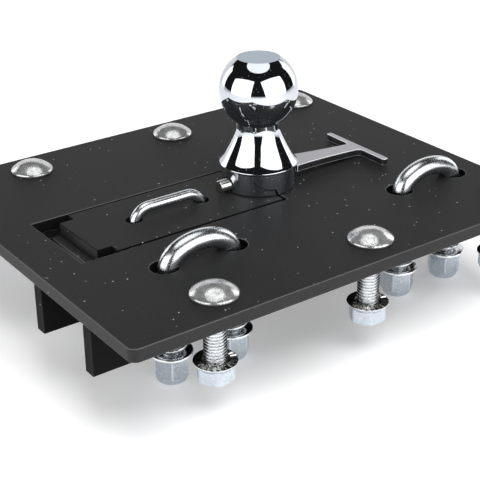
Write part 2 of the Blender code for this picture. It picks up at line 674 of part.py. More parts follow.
def grab_handle(rod_finish, washer_finish, nut_finish, arm_pivot):
    centre_x = BALL_OFFSET_X - GRAB_FROM_BALL
    guide = joint_empty("grab_guide", (centre_x, 0, DECK), arm_pivot)
    rod("grab_handle", grab_path(), GRAB_ROD_RADIUS, rod_finish, (centre_x, 0, DECK), guide)
    washer = washer_mesh(GRAB_ROD_RADIUS, GRAB_WASHER_RADIUS, GRAB_WASHER_THICKNESS)
    nut = plain_nut_mesh(GRAB_NUT_FLATS, GRAB_NUT_HEIGHT, GRAB_ROD_RADIUS, "grab_nut")
    washer_at = DECK_UNDERSIDE - SEAT_GAP - GRAB_TRAVEL - GRAB_WASHER_THICKNESS
    nut_at = washer_at - SEAT_GAP
    for word, side in (("left", -1), ("right", 1)):
        x = centre_x + side * GRAB_SPACING / 2
        piece(f"grab_washer_{word}", washer, washer_finish, (x, 0, washer_at), guide)
        piece(f"grab_nut_{word}", nut, nut_finish, (x, 0, nut_at), guide)


def u_bolt_path():
    """Centre line of a U-bolt: straight legs joined by a low elliptical arch, in X and Z."""
    half = UBOLT_SPACING / 2
    foot = -UBOLT_DEPTH + UBOLT_END_INSET
    steps = 16
    angles = [math.pi * (1 - i / steps) for i in range(steps + 1)]
    arch = [(half * math.cos(a), UBOLT_ARCH_RISE * math.sin(a) - UBOLT_ARCH_SINK) for a in angles]
    return [(x, 0, z) for x, z in [(-half, foot)] + arch + [(half, foot)]]


def spring_path(length):
    """Centre line of a coil spring that stands on height 0, with one closed turn at each end."""
    mean_radius = UBOLT_ROD_RADIUS + SPRING_CLEARANCE + SPRING_WIRE_RADIUS
    closed_pitch = 2 * SPRING_WIRE_RADIUS * 1.15
    open_pitch = (length - 2 * SPRING_WIRE_RADIUS - 2 * closed_pitch) / SPRING_TURNS
    points = []
    for i in range((SPRING_TURNS + 2) * SPRING_POINTS_PER_TURN + 1):
        turn = i / SPRING_POINTS_PER_TURN
        closed = min(turn, 1) + max(turn - 1 - SPRING_TURNS, 0)
        opened = min(max(turn - 1, 0), SPRING_TURNS)
        height = SPRING_WIRE_RADIUS + closed * closed_pitch + opened * open_pitch
        angle = math.tau * turn
        points.append((mean_radius * math.cos(angle), mean_radius * math.sin(angle), height))
    return points


def u_bolt(word, side, rod_finish, washer_finish, spring_finish, nut_finish):
    centre_x = BALL_OFFSET_X + side * UBOLT_FROM_BALL
    guide = joint_empty(f"u_bolt_{word}_guide", (centre_x, UBOLT_ROW_Y, DECK))
    place = (centre_x, UBOLT_ROW_Y, DECK)
    rod(f"u_bolt_{word}", u_bolt_path(), UBOLT_ROD_RADIUS, rod_finish, place, guide, sides=4)
    nut_at = DECK - UBOLT_DEPTH + UBOLT_NUT_HEIGHT
    washer_at = nut_at + SEAT_GAP
    spring_at = washer_at + UBOLT_WASHER_THICKNESS + SEAT_GAP
    spring_length = DECK_UNDERSIDE - SEAT_GAP - spring_at
    nut = lock_nut_mesh(UBOLT_NUT_FLATS, UBOLT_NUT_HEIGHT, UBOLT_ROD_RADIUS, "u_bolt_nut")
    washer = washer_mesh(UBOLT_ROD_RADIUS, UBOLT_WASHER_RADIUS, UBOLT_WASHER_THICKNESS)
    for leg, offset in (("a", -UBOLT_SPACING / 2), ("b", UBOLT_SPACING / 2)):
        x = centre_x + offset
        piece(f"u_bolt_nut_{word}_{leg}", nut, nut_finish, (x, UBOLT_ROW_Y, nut_at), guide)
        piece(f"u_bolt_washer_{word}_{leg}", washer, washer_finish, (x, UBOLT_ROW_Y, washer_at), guide)
        rod(
            f"u_bolt_spring_{word}_{leg}",
            spring_path(spring_length),
            SPRING_WIRE_RADIUS,
            spring_finish,
            (x, UBOLT_ROW_Y, spring_at),
            guide,
            sides=1,
        )


def main():
    clear_scene()
    deck_coat = material("deck_coat", (0.04, 0.04, 0.042), 0.5, 0.0)
    rail_coat = material("rail_coat", (0.02, 0.02, 0.021), 0.55, 0.0)
    arm_coat = material("arm_coat", (0.042, 0.042, 0.044), 0.5, 0.0)
    lug_coat = material("lug_coat", (0.03, 0.03, 0.031), 0.55, 0.0)
    chrome = material("chrome", (0.85, 0.86, 0.88), 0.06, 1.0)
    pin_steel = material("pin_steel", (0.66, 0.66, 0.67), 0.25, 1.0)
    handle_zinc = material("handle_zinc", (0.62, 0.6, 0.66), 0.38, 1.0)
    grab_zinc = material("grab_zinc", (0.74, 0.76, 0.79), 0.2, 1.0)
    bolt_zinc = material("bolt_zinc", (0.7, 0.72, 0.75), 0.28, 1.0)
    nut_zinc = material("nut_zinc", (0.68, 0.72, 0.79), 0.34, 1.0)
    u_bolt_zinc = material("u_bolt_zinc", (0.78, 0.81, 0.83), 0.16, 1.0)
    lock_nut_zinc = material("lock_nut_zinc", (0.68, 0.73, 0.8), 0.34, 1.0)
    washer_zinc = material("washer_zinc", (0.66, 0.68, 0.7), 0.3, 1.0)
    spring_steel = material("spring_steel", (0.6, 0.62, 0.64), 0.25, 1.0)

    main_plate(deck_coat)
    rails(rail_coat)
    bed_bolts(bolt_zinc, nut_zinc)
    pivot_pin(pin_steel, washer_zinc, pin_steel)
    pivot = swing_arm(arm_coat, lug_coat, chrome, nut_zinc)
    lock_pin(pin_steel, handle_zinc, pivot)
    grab_handle(grab_zinc, washer_zinc, nut_zinc, pivot)
    u_bolt("left", -1, u_bolt_zinc, washer_zinc, spring_steel, lock_nut_zinc)
    u_bolt("right", 1, u_bolt_zinc, washer_zinc, spring_steel, lock_nut_zinc)


main()
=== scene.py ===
"""Dresses a packed gooseneck hitch head: finer pieces, their finishes, a studio and a camera.

Metres, +Z up. The frame's origin lies under the centre of the deck plate, level with the lowest
point of the hitch.
"""
import json
import math

import bmesh
import bpy
from bpy.props import FloatProperty, FloatVectorProperty, IntProperty, PointerProperty
from mathutils import Matrix, Vector


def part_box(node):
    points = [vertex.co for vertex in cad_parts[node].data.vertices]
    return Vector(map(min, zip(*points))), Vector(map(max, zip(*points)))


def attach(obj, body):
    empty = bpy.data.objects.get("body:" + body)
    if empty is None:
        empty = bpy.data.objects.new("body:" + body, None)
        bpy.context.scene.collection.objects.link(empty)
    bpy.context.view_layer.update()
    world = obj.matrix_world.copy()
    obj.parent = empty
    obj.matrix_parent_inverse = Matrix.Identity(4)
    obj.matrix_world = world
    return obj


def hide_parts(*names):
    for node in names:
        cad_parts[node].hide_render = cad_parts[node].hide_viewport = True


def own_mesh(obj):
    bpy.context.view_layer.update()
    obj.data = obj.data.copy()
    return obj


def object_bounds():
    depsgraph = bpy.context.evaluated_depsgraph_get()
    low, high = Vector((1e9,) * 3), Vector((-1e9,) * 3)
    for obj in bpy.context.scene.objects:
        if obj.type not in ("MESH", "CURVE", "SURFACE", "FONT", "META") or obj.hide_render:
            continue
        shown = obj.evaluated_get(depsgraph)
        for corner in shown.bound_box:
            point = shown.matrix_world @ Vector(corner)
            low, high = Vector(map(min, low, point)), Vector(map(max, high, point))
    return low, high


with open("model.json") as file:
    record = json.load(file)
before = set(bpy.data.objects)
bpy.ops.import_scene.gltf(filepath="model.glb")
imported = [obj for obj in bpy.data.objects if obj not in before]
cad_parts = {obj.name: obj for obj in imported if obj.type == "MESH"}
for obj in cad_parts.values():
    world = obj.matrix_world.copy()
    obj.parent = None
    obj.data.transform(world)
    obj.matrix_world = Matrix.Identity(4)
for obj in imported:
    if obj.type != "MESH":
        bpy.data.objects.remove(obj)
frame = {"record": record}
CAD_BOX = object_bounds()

bl_info = {
    "name": "Gooseneck Hitch Head",
    "version": (1, 0, 0),
    "blender": (4, 5, 0),
    "location": "3D View > Sidebar > Hitch",
    "description": "Builds the detailed pieces, finishes and studio of a gooseneck hitch head",
    "category": "Add Mesh",
}

TURN = math.tau
ALONG_X = (TURN / 4, 3, "Y")
ALONG_Y = (-TURN / 4, 3, "X")
BLACK = (0.0, 0.0, 0.0, 1.0)
GREY = (0.5, 0.5, 0.5, 1.0)
WHITE = (1.0, 1.0, 1.0, 1.0)

SIDES = ("left", "right")
U_LEGS = [(word, leg) for word in SIDES for leg in ("a", "b")]
BOLT_NUMBERS = range(1, 7)
# How far the deck's holes lie from the U-bolts' legs, along X
U_HOLE_SHIFT = {"a": -0.0025, "b": 0.0025}
# Turns of the lock nuts in the picture, in degrees
NUT_TURNS = {("left", "a"): 0.0, ("left", "b"): -10.0, ("right", "a"): -25.5, ("right", "b"): -9.0}
# What a bore's radius is wider than its rod's
CLEARANCE = 0.0002
# Where a nut's chamfer starts, as a share of half its flats
CHAMFER_START = 0.97
# Depth of a thread, as a share of its pitch
THREAD_DEPTH = 0.5
# How far a thread reaches into its plain shank
OVERLAP = 0.0004
# Half size of a box that holds the whole hitch
WHOLE = 1.0
# Distance within which points become one
WELD = 1e-6

# Angle in degrees from which an edge is rounded
ROUNDED = 38
# Angles in degrees from which an edge is shaded as sharp
SHARP = 32.0
SHARP_NUT = 24.0
SHARP_BALL = 30.0
SHARP_BOLT = 34.0
SHARP_ROD = 40.0
SHARP_PLATE = 50.0

# The solved camera: its place, then azimuth, pitch and roll in degrees, then the picture's size,
# the focal length and the lens's centre in pixels, and the sensor's width in millimetres
CAMERA_PLACE = (-0.4741, -0.6646, 0.4491)
CAMERA_ANGLES = (35.717, 26.229, -0.453)
PICTURE = 480
FOCAL = 1182.9
LENS_CENTRE = (238.9, 238.6)
SENSOR = 36.0


def size(label, text, default):
    return FloatProperty(
        name=label, description=text, default=default, min=0.0, precision=5, unit="LENGTH"
    )


def tint(label, text, default):
    return FloatVectorProperty(
        name=label, description=text, default=default, size=3, min=0.0, max=1.0, subtype="COLOR"
    )


class HitchSizes(bpy.types.PropertyGroup):
    """Sizes of the hitch head, in metres."""

    edge: size("Plate edge", "Radius of the dressed edges of the plates and rails", 0.0005)
    plate_corner: size("Plate corner", "Radius of the deck plate's corners", 0.006)
    neck_hole: size("Neck hole", "Half width of the square holes for the bolt necks", 0.0085)
    u_hole: size("U-bolt hole", "Radius of the holes for the U-bolts", 0.0102)
    opening_half: size("Opening half width", "Half the width of the opening that the arm lies in", 0.0373)
    opening_left: size("Opening reach", "From the ball's axis to the opening's left edge", 0.174)
    opening_shoulder: size("Opening shoulder", "From the ball's axis to the wide part's end", 0.0005)
    nose_gap: size("Nose gap", "Gap round the arm's nose", 0.0013)
    nose: size("Arm nose", "Radius of the arm's round nose", 0.0265)
    arm_half: size("Arm half width", "Half the width of the arm", 0.0352)
    arm_end: size("Arm end", "From the ball's axis to the end of the arm's wide part", 0.0032)
    arm_reach: size("Arm reach", "From the ball's axis to the end of the tongue", 0.1565)
    tongue: size("Tongue length", "Length of the narrower tongue at the arm's left end", 0.0111)
    tongue_half: size("Tongue half width", "Half the width of the tongue", 0.0269)
    shank_hole: size("Shank hole", "Radius of the hole for the ball's shank", 0.0161)
    grip_hole: size("Grip hole", "Radius of the holes for the grab handle", 0.0059)
    ball: size("Ball diameter", "Diameter of the hitch ball, a standard 2-5/16 in", 0.0587)
    ball_flat: size("Ball flat", "Radius of the flat on top of the ball", 0.016)
    neck: size("Neck radius", "Radius of the ball's neck", 0.0165)
    neck_length: size("Neck length", "Straight length of the neck", 0.0023)
    flare: size("Flare height", "Height of the hollow flare under the neck", 0.0288)
    rim: size("Rim radius", "Radius of the rim over the collar", 0.0296)
    rim_height: size("Rim height", "Height of the rim over the deck", 0.0195)
    collar: size("Collar radius", "Radius of the collar", 0.0283)
    shank: size("Shank radius", "Radius of the ball's shank", 0.0158)
    shank_pitch: size("Shank pitch", "Thread pitch of the ball's shank", 0.0032)
    pin: size("Pin radius", "Radius of the pull pin", 0.00475)
    pin_height: size("Pin height", "Height of the pull pin's axis over the deck", 0.0059)
    handle_edge: size("Handle edge", "Radius of the T-handle's edges", 0.0005)
    handle_plate: size("Handle thickness", "Thickness of the T-handle", 0.0055)
    stem_root: size("Stem root", "Width of the T-handle's stem at the ball", 0.023)
    stem_end: size("Stem end", "Width of the T-handle's stem at the crossbar", 0.0142)
    crossbar: size("Crossbar", "Depth of the T-handle's crossbar", 0.0055)
    grip: size("Grip radius", "Radius of the grab handle's rod", 0.004)
    grip_bend: size("Grip bend", "Bend radius of the grab handle", 0.0124)
    u_rod: size("U-bolt rod", "Radius of the U-bolt's rod", 0.00714)
    u_pitch: size("U-bolt pitch", "Thread pitch of the U-bolts", 0.0021)
    u_rise: size("Arch rise", "Half height of the U-bolt's elliptical arch", 0.0152)
    u_sink: size("Arch sink", "How far the arch's centre lies under the deck", 0.0032)
    u_flats: size("Lock nut flats", "Width across the flats of the U-bolt's lock nuts", 0.0238)
    wire: size("Spring wire", "Radius of the spring wire", 0.0015)
    bolt: size("Bolt radius", "Radius of the carriage bolts' shanks", 0.0079)
    bolt_pitch: size("Bolt pitch", "Thread pitch of the carriage bolts", 0.0023)
    bolt_head: size("Bolt head", "Radius of the carriage bolts' heads", 0.0163)
    bolt_rise: size("Bolt head height", "Height of the carriage bolts' heads", 0.0084)
    bolt_rim: size("Bolt head rim", "Thickness of the heads at their rim", 0.0021)
    nut_flats: size("Flange nut flats", "Width across the flats of the flange nuts", 0.0238)
    flange: size("Flange radius", "Radius of the nuts' flanges", 0.015)
    tooth: size("Serration", "Depth of the serrations on the flanges", 0.0011)
    panel_reach: size("Panel distance", "How far the studio panels stand from the hitch", 1.25)
    card_reach: size("Card distance", "From the ball's middle to the sheets that it mirrors", 1.6)
    teeth: IntProperty(name="Serrations", description="Serrations round a flange", default=24, min=8)


class HitchColours(bpy.types.PropertyGroup):
    """Colours of the finishes."""

    deck: tint("Deck coat", "Powder coat of the deck plate and the arm", (0.0125, 0.0125, 0.0128))
    # Painted shade: a darker copy of the deck's black coat, for the rails under the deck and the walls
    # inside the slits and holes
    rails: tint("Rail coat", "Powder coat of the rails and the hinge lug", (0.004, 0.004, 0.0042))
    # Painted highlight: a lighter coat on the plates' rounded edges, where light catches them
    edges: tint("Worn edges", "Coat on the rounded edges of the plates", (0.06, 0.06, 0.061))
    chrome: tint("Chrome", "Chrome of the ball", (0.63, 0.66, 0.71))
    ball_top: tint("Ball top", "Turned flat on top of the ball", (0.417, 0.48, 0.55))
    zinc: tint("Bright zinc", "Zinc of the U-bolts and the grab handle", (0.80, 0.83, 0.85))
    bolts: tint("Bolt zinc", "Zinc of the carriage bolts", (0.80, 0.82, 0.84))
    nuts: tint("Nut zinc", "Blue-white zinc of the nuts", (0.58, 0.63, 0.69))
    handle: tint("Handle zinc", "Satin zinc of the T-handle", (0.54, 0.53, 0.57))
    pin: tint("Pin steel", "Bright steel of the pull pin", (0.78, 0.77, 0.74))
    spring: tint("Spring steel", "Spring wire", (0.66, 0.68, 0.7))
    nylon: tint("Nylon", "Locking ring in the domed nuts", (0.70, 0.73, 0.76))
    floor: tint("Floor", "Studio floor", (0.9, 0.9, 0.905))
    surround: tint("Surround", "Light that comes from all round the studio", (0.2, 0.2, 0.207))


def sizes():
    return bpy.context.scene.hitch_sizes


def colours():
    return bpy.context.scene.hitch_colours


# Shader expressions


class Wire:
    """A shader socket on which arithmetic adds Math nodes."""

    def __init__(self, shading, socket):
        self.shading = shading
        self.socket = socket

    def math(self, operation, *others, clamp=False):
        values = dict(enumerate((self,) + others))
        return self.shading.node("ShaderNodeMath", {"operation": operation, "use_clamp": clamp}, values)

    def __add__(self, other):
        return self.math("ADD", other)

    __radd__ = __add__

    def __mul__(self, other):
        return self.math("MULTIPLY", other)

    __rmul__ = __mul__

    def __sub__(self, other):
        return self.math("SUBTRACT", other)

    def __rsub__(self, other):
        return self.shading.node("ShaderNodeMath", {"operation": "SUBTRACT"}, {0: other, 1: self})

    def clamped(self):
        """The value kept between 0 and 1."""
        return self.math("ADD", 0.0, clamp=True)


class Shading:
    """A node tree, with short calls for the nodes that are added to it."""

    def __init__(self, tree):
        self.tree = tree

    def node(self, kind, settings=None, values=None, output=0):
        made = self.tree.nodes.new(kind)
        for key, value in (settings or {}).items():
            setattr(made, key, value)
        for key, value in (values or {}).items():
            self.feed(made.inputs[key], value)
        return Wire(self, made.outputs[output])

    def feed(self, socket, value):
        if isinstance(value, Wire):
            self.tree.links.new(value.socket, socket)
        else:
            socket.default_value = value

    def mix(self, factor, first, second):
        values = {0: factor, 6: first, 7: second}
        return self.node("ShaderNodeMix", {"data_type": "RGBA"}, values, output=2)

    def sight(self):
        """Two masks: the camera's own rays, and those with the mirrored and refracted ones."""
        camera = seen = self.node("ShaderNodeLightPath", output="Is Camera Ray")
        outputs = camera.socket.node.outputs
        for other in ("Is Glossy Ray", "Is Transmission Ray"):
            seen = seen.math("MAXIMUM", Wire(self, outputs[other]))
        return camera, seen


class Finish(Shading):
    """A material on the Principled shader."""

    def __init__(self, name):
        self.material = bpy.data.materials.new(name)
        self.material.use_nodes = True
        super().__init__(self.material.node_tree)
        self.shader = self.tree.nodes["Principled BSDF"]
        self.place = self.node("ShaderNodeTexCoord", output="Object")

    def noise(self, scale, detail=2.0, roughness=0.5):
        values = {"Vector": self.place, "Scale": scale, "Detail": detail, "Roughness": roughness}
        return self.node("ShaderNodeTexNoise", {"noise_dimensions": "3D"}, values)

    def specks(self, scale, reach):
        """Sparse round spots: 1 inside a spot and 0 outside."""
        values = {"Vector": self.place, "Scale": scale}
        spots = self.node("ShaderNodeTexVoronoi", {"feature": "F1"}, values)
        return ((reach - spots) * (2.0 / reach)).clamped()

    def bump(self, height, depth, strength):
        values = {"Height": height, "Distance": depth, "Strength": strength}
        self.set("Normal", self.node("ShaderNodeBump", {}, values, output="Normal"))

    def set(self, socket, value):
        self.feed(self.shader.inputs[socket], value)
        return self


def shaded(colour, amount):
    """A plain colour made lighter or darker by a factor."""
    return tuple(min(part * amount, 1.0) for part in colour) + (1.0,)


def powder_coat(name, colour, roughness, shine):
    """Satin powder coat: faint orange peel, a cloudy tone, dust and a few pale nicks."""
    coat = Finish(name)
    cloud = coat.noise(24, 4, 0.6)
    grain = coat.noise(1500, 2)
    fleck = coat.noise(420, 1)
    body = coat.mix(cloud, shaded(colour, 0.72), shaded(colour, 1.3))
    toned = coat.mix((fleck - 0.42) * 0.9, body, shaded(colour, 1.9))
    nicks = coat.specks(120, 0.075)
    coat.set("Base Color", coat.mix(nicks * 0.9, toned, GREY))
    coat.set("Roughness", grain * 0.16 + (roughness - 0.08) + cloud * 0.05)
    coat.set("Metallic", 0.0)
    coat.set("Specular IOR Level", shine)
    coat.bump(grain + fleck * 0.5, 0.00012, 0.5)
    return coat.material


def chrome_plate(name, colour, roughness):
    """Polished chrome with faint wipe marks and dust."""
    chrome = Finish(name)
    wipe = chrome.noise(60, 3, 0.6)
    chrome.set("Base Color", chrome.mix(wipe, shaded(colour, 0.96), shaded(colour, 1.03)))
    dust = chrome.specks(420, 0.16)
    chrome.set("Roughness", wipe * 0.05 + roughness + dust * 0.3)
    chrome.set("Metallic", 1.0)
    chrome.bump(chrome.noise(90, 2), 0.00004, 0.25)
    return chrome.material


def turned_face(name, colour):
    """A matte faced end: fine rings about the ball's axis."""
    face = Finish(name)
    ball = centre_of("hitch_ball")
    ring_pitch = 0.0008
    values = {"Vector": face.place, "Location": (-ball.x, -ball.y, 0.0)}
    centred = face.node("ShaderNodeMapping", {}, values)
    flat = face.node("ShaderNodeVectorMath", {"operation": "MULTIPLY"}, {0: centred, 1: (1.0, 1.0, 0.0)})
    radius = face.node("ShaderNodeVectorMath", {"operation": "LENGTH"}, {0: flat}, output="Value")
    rings = (radius * (TURN / ring_pitch)).math("SINE")
    tone = face.noise(70, 3)
    face.set("Base Color", face.mix(tone, shaded(colour, 0.88), shaded(colour, 1.12)))
    face.set("Roughness", tone * 0.12 + 0.42)
    face.set("Metallic", 0.55)
    face.bump(rings * 0.5 + face.noise(1800, 1), 0.00005, 0.5)
    return face.material


def zinc_plate(name, colour, roughness, mottle, pits, grain=0.3, metallic=1.0):
    """Zinc plate: cloudy patches, small dark pits and a soft grain."""
    zinc = Finish(name)
    patch = zinc.noise(190, 4, 0.65)
    pit = zinc.noise(900, 2, 0.6)
    dark = ((pit - 0.54) * 5.0).clamped()
    toned = zinc.mix(patch, shaded(colour, 1.0 - mottle), shaded(colour, 1.0 + mottle * 0.5))
    zinc.set("Base Color", zinc.mix(dark * pits, toned, shaded(colour, 0.3)))
    zinc.set("Roughness", patch * 0.16 + (roughness - 0.08) + dark * 0.12)
    zinc.set("Metallic", metallic)
    zinc.bump(patch * 0.6 + pit, 0.00018, grain)
    return zinc.material


def drawn_wire(name, colour):
    """Drawn spring wire, a little scuffed."""
    wire = Finish(name)
    scuff = wire.noise(600, 3)
    wire.set("Base Color", wire.mix(scuff, shaded(colour, 0.6), shaded(colour, 1.15)))
    wire.set("Roughness", scuff * 0.2 + 0.14)
    wire.set("Metallic", 1.0)
    wire.bump(scuff, 0.00008, 0.3)
    return wire.material


def moulded_nylon(name, colour):
    """Dull nylon, faintly uneven."""
    nylon = Finish(name)
    tone = nylon.noise(500, 2)
    nylon.set("Base Color", nylon.mix(tone, shaded(colour, 0.9), shaded(colour, 1.08)))
    nylon.set("Roughness", tone * 0.15 + 0.42)
    nylon.bump(tone, 0.00006, 0.3)
    return nylon.material


# What each finish is made of: its maker, its colour and a factor on that, and the maker's values
FINISH_TABLE = {
    "deck_coat": (powder_coat, "deck", 1.0, dict(roughness=0.5, shine=0.14)),
    # Painted shade: the deck's black coat made darker for the rails, the walls of the opening and holes,
    # and the arm's walls and edges
    "rail_coat": (powder_coat, "rails", 1.0, dict(roughness=0.65, shine=0.09)),
    # Painted light: the deck's black coat made lighter for the plates' outer walls, the tongue's end and
    # the hinge lug
    "side_coat": (powder_coat, "deck", 1.4, dict(roughness=0.5, shine=0.2)),
    # Painted highlight: a lighter coat for the rounded edges of the deck and the hinge lug
    "edge_coat": (powder_coat, "edges", 1.0, dict(roughness=0.36, shine=0.35)),
    "chrome": (chrome_plate, "chrome", 1.0, dict(roughness=0.015)),
    "satin_chrome": (chrome_plate, "chrome", 1.0, dict(roughness=0.11)),
    "ball_top": (turned_face, "ball_top", 1.0, {}),
    "bright_zinc": (zinc_plate, "zinc", 1.0, dict(roughness=0.24, mottle=0.16, pits=0.35)),
    "bolt_zinc": (
        zinc_plate, "bolts", 1.0, dict(roughness=0.12, mottle=0.8, pits=1.0, grain=0.5, metallic=0.74)
    ),
    "thread_zinc": (
        zinc_plate, "bolts", 1.0, dict(roughness=0.2, mottle=0.34, pits=0.8, grain=0.9, metallic=0.95)
    ),
    "nut_zinc": (zinc_plate, "nuts", 1.0, dict(roughness=0.26, mottle=0.24, pits=0.3, grain=0.5)),
    # Painted highlight: the nut zinc made lighter on the lock nuts' corners and upper chamfer
    "nut_edge": (zinc_plate, "nuts", 1.3, dict(roughness=0.35, mottle=0.1, pits=0.1, metallic=0.5)),
    # Painted highlight: a brighter zinc than the nuts' on the serrated tops of the flange nuts
    "serrated_zinc": (zinc_plate, "pin", 1.0, dict(roughness=0.14, mottle=0.3, pits=0.6)),
    "washer_zinc": (zinc_plate, "bolts", 1.0, dict(roughness=0.14, mottle=0.3, pits=0.5)),
    "handle_zinc": (zinc_plate, "handle", 1.0, dict(roughness=0.36, mottle=0.1, pits=0.15)),
    # Painted shade: the T-handle's zinc made half as bright on its side walls
    "handle_side": (zinc_plate, "handle", 0.5, dict(roughness=0.3, mottle=0.45, pits=0.8)),
    # Painted highlight: the brighter zinc on the T-handle's rounded edges
    "handle_edge": (zinc_plate, "zinc", 1.0, dict(roughness=0.4, mottle=0.1, pits=0.1, metallic=0.35)),
    "pin_steel": (zinc_plate, "pin", 1.0, dict(roughness=0.16, mottle=0.25, pits=0.3)),
    "spring_wire": (drawn_wire, "spring", 1.0, {}),
    "nylon": (moulded_nylon, "nylon", 1.0, {}),
}
FINISHES = {}


def finish(name):
    """The named finish, made once."""
    if name not in FINISHES:
        maker, tone, share, values = FINISH_TABLE[name]
        colour = tuple(part * share for part in getattr(colours(), tone))
        FINISHES[name] = maker(name, colour, **values)
    return FINISHES[name]


# Places in the frame

BODIES = frame["record"]["behaviour"]["bodies"]
BODY_OF = {node: body for body, nodes in BODIES.items() for node in nodes}


def centre_of(node):
    low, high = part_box(node)
    return (Vector(low) + Vector(high)) / 2


def top_of(node):
    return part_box(node)[1][2]


def foot_of(node):
    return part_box(node)[0][2]


def spot(node, height):
    """The middle of a node seen from above, at a height of its own."""
    centre = centre_of(node)
    return Vector((centre.x, centre.y, height))


# Mesh tools


def lathe(profile, segments=64, closed=False):
    """Turn (radius, height) points about Z into a skin. A closed profile makes a ring."""
    bm = bmesh.new()
    verts = [bm.verts.new((radius, 0.0, height)) for radius, height in profile]
    pairs = list(zip(verts, verts[1:]))
    if closed:
        pairs.append((verts[-1], verts[0]))
    edges = [bm.edges.new(pair) for pair in pairs]
    bmesh.ops.spin(
        bm,
        geom=verts + edges,
        axis=(0, 0, 1),
        cent=(0, 0, 0),
        angle=TURN,
        steps=segments,
        use_merge=True,
    )
    bmesh.ops.remove_doubles(bm, verts=bm.verts, dist=WELD)
    return bm


def plug(radius, half_length, segments):
    """A solid cylinder about Z, with its middle at the origin."""
    ends = [(0.0, -half_length), (radius, -half_length), (radius, half_length), (0.0, half_length)]
    return lathe(ends, segments)


def block(extent, centre=(0, 0, 0)):
    """A box with three lengths, about its centre."""
    bm = bmesh.new()
    bmesh.ops.create_cube(bm, size=1.0)
    bmesh.ops.scale(bm, vec=extent, verts=bm.verts)
    bmesh.ops.translate(bm, vec=centre, verts=bm.verts)
    return bm


def arc(centre_x, centre_y, radius, start, end, steps):
    """Points of an arc in a plane, from one angle to another, in degrees."""
    angles = [math.radians(start + (end - start) * i / steps) for i in range(steps + 1)]
    return [(centre_x + radius * math.cos(a), centre_y + radius * math.sin(a)) for a in angles]


def set_ring(verts, level):
    """Put a ring's points at the radius and height that a level gives for their angle."""
    radius, height = level
    for vert in verts:
        angle = math.atan2(vert.co.y, vert.co.x)
        reach = radius(angle) if callable(radius) else radius
        rise = height(angle) if callable(height) else height
        vert.co = (reach * math.cos(angle), reach * math.sin(angle), rise)


def ring_stack(levels, count):
    """Rings extruded one from the other and bridged into a closed tube with a hole through it."""
    bm = bmesh.new()
    bmesh.ops.create_circle(bm, segments=count, radius=1.0)
    first = edges = bm.edges[:]
    set_ring(bm.verts[:], levels[0])
    for level in levels[1:]:
        grown = bmesh.ops.extrude_edge_only(bm, edges=edges)["geom"]
        verts = {item for item in grown if isinstance(item, bmesh.types.BMVert)}
        lines = [item for item in grown if isinstance(item, bmesh.types.BMEdge)]
        edges = [line for line in lines if set(line.verts) <= verts]
        set_ring(verts, level)
    bmesh.ops.bridge_loops(bm, edges=first + edges)
    return bm


def hexagon(flats):
    """A function that gives a hexagon's radius at an angle, with its corners a little rounded."""
    worn = 0.988
    corner = flats / 2 / math.cos(TURN / 12) * worn

    def radius(angle):
        offset = angle % (TURN / 6) - TURN / 12
        return min(flats / 2 / math.cos(offset), corner)

    return radius


def mark_faces(bm, index, test):
    """Give the faces whose middle passes a test a finish of their own."""
    for face in bm.faces:
        if test(face.calc_center_median()):
            face.material_index = index


def mark_corner_highlights(bm, index, start):
    """Give the corners and the upper chamfer of a hexagon nut, from a radius on, their own lighter finish
    as painted highlight.
    """
    half_width = 1.6
    for face in bm.faces:
        middle = face.calc_center_median()
        angle = math.degrees(math.atan2(middle.y, middle.x)) % 60
        corner = abs(face.normal.z) < 0.4 and min(angle, 60 - angle) < half_width
        chamfer = 0.4 < face.normal.z < 0.95
        if math.hypot(middle.x, middle.y) > start and (corner or chamfer):
            face.material_index = index


def chamfer_line(flats, end, direction, slope=0.58):
    """A function that gives the height at which a hexagon's side meets the cone at one of its ends."""
    side = hexagon(flats)
    start = flats / 2 * CHAMFER_START
    return lambda angle: end - direction * max(side(angle) - start, 0.0) * slope


def threaded_rod(radius, pitch, low, high, end_chamfer, steps=28):
    """A right-hand thread from one height to the other, cut flat, its lower end chamfered."""
    root = radius - THREAD_DEPTH * pitch
    # Radius at shares of the pitch: a flat root, a flank, a narrow crest and the other flank
    profile = ((root, 0.0), (root, 0.12), (radius, 0.44), (radius, 0.56), (root, 0.88), (root, 1.0))
    turns = math.ceil((high - low) / pitch) + 3
    bm = bmesh.new()
    start = low - 1.5 * pitch
    verts = [bm.verts.new((reach, 0.0, start + share * pitch)) for reach, share in profile]
    edges = [bm.edges.new(pair) for pair in zip(verts, verts[1:])]
    bmesh.ops.spin(
        bm,
        geom=verts + edges,
        axis=(0, 0, 1),
        cent=(0, 0, 0),
        dvec=(0, 0, pitch / steps),
        angle=TURN * turns,
        steps=steps * turns,
        use_merge=False,
    )
    bmesh.ops.remove_doubles(bm, verts=bm.verts, dist=pitch * 0.01)
    for height, side in ((low, -1), (high, 1)):
        whole = bm.verts[:] + bm.edges[:] + bm.faces[:]
        bmesh.ops.bisect_plane(
            bm, geom=whole, plane_co=(0, 0, height), plane_no=(0, 0, side), clear_outer=True
        )
    rims = [edge for edge in bm.edges if edge.is_boundary]
    bmesh.ops.edgeloop_fill(bm, edges=rims)
    taper_end(bm, low, root - 0.25 * end_chamfer, end_chamfer)
    return bm


def taper_end(bm, low, end_radius, length):
    """Turn down the last stretch of a rod so that its end is chamfered."""
    for vert in bm.verts:
        reach = math.hypot(vert.co.x, vert.co.y)
        limit = end_radius + max(vert.co.z - low, 0.0)
        if vert.co.z < low + length and reach > limit:
            bmesh.ops.scale(bm, vec=(limit / reach, limit / reach, 1.0), verts=[vert])


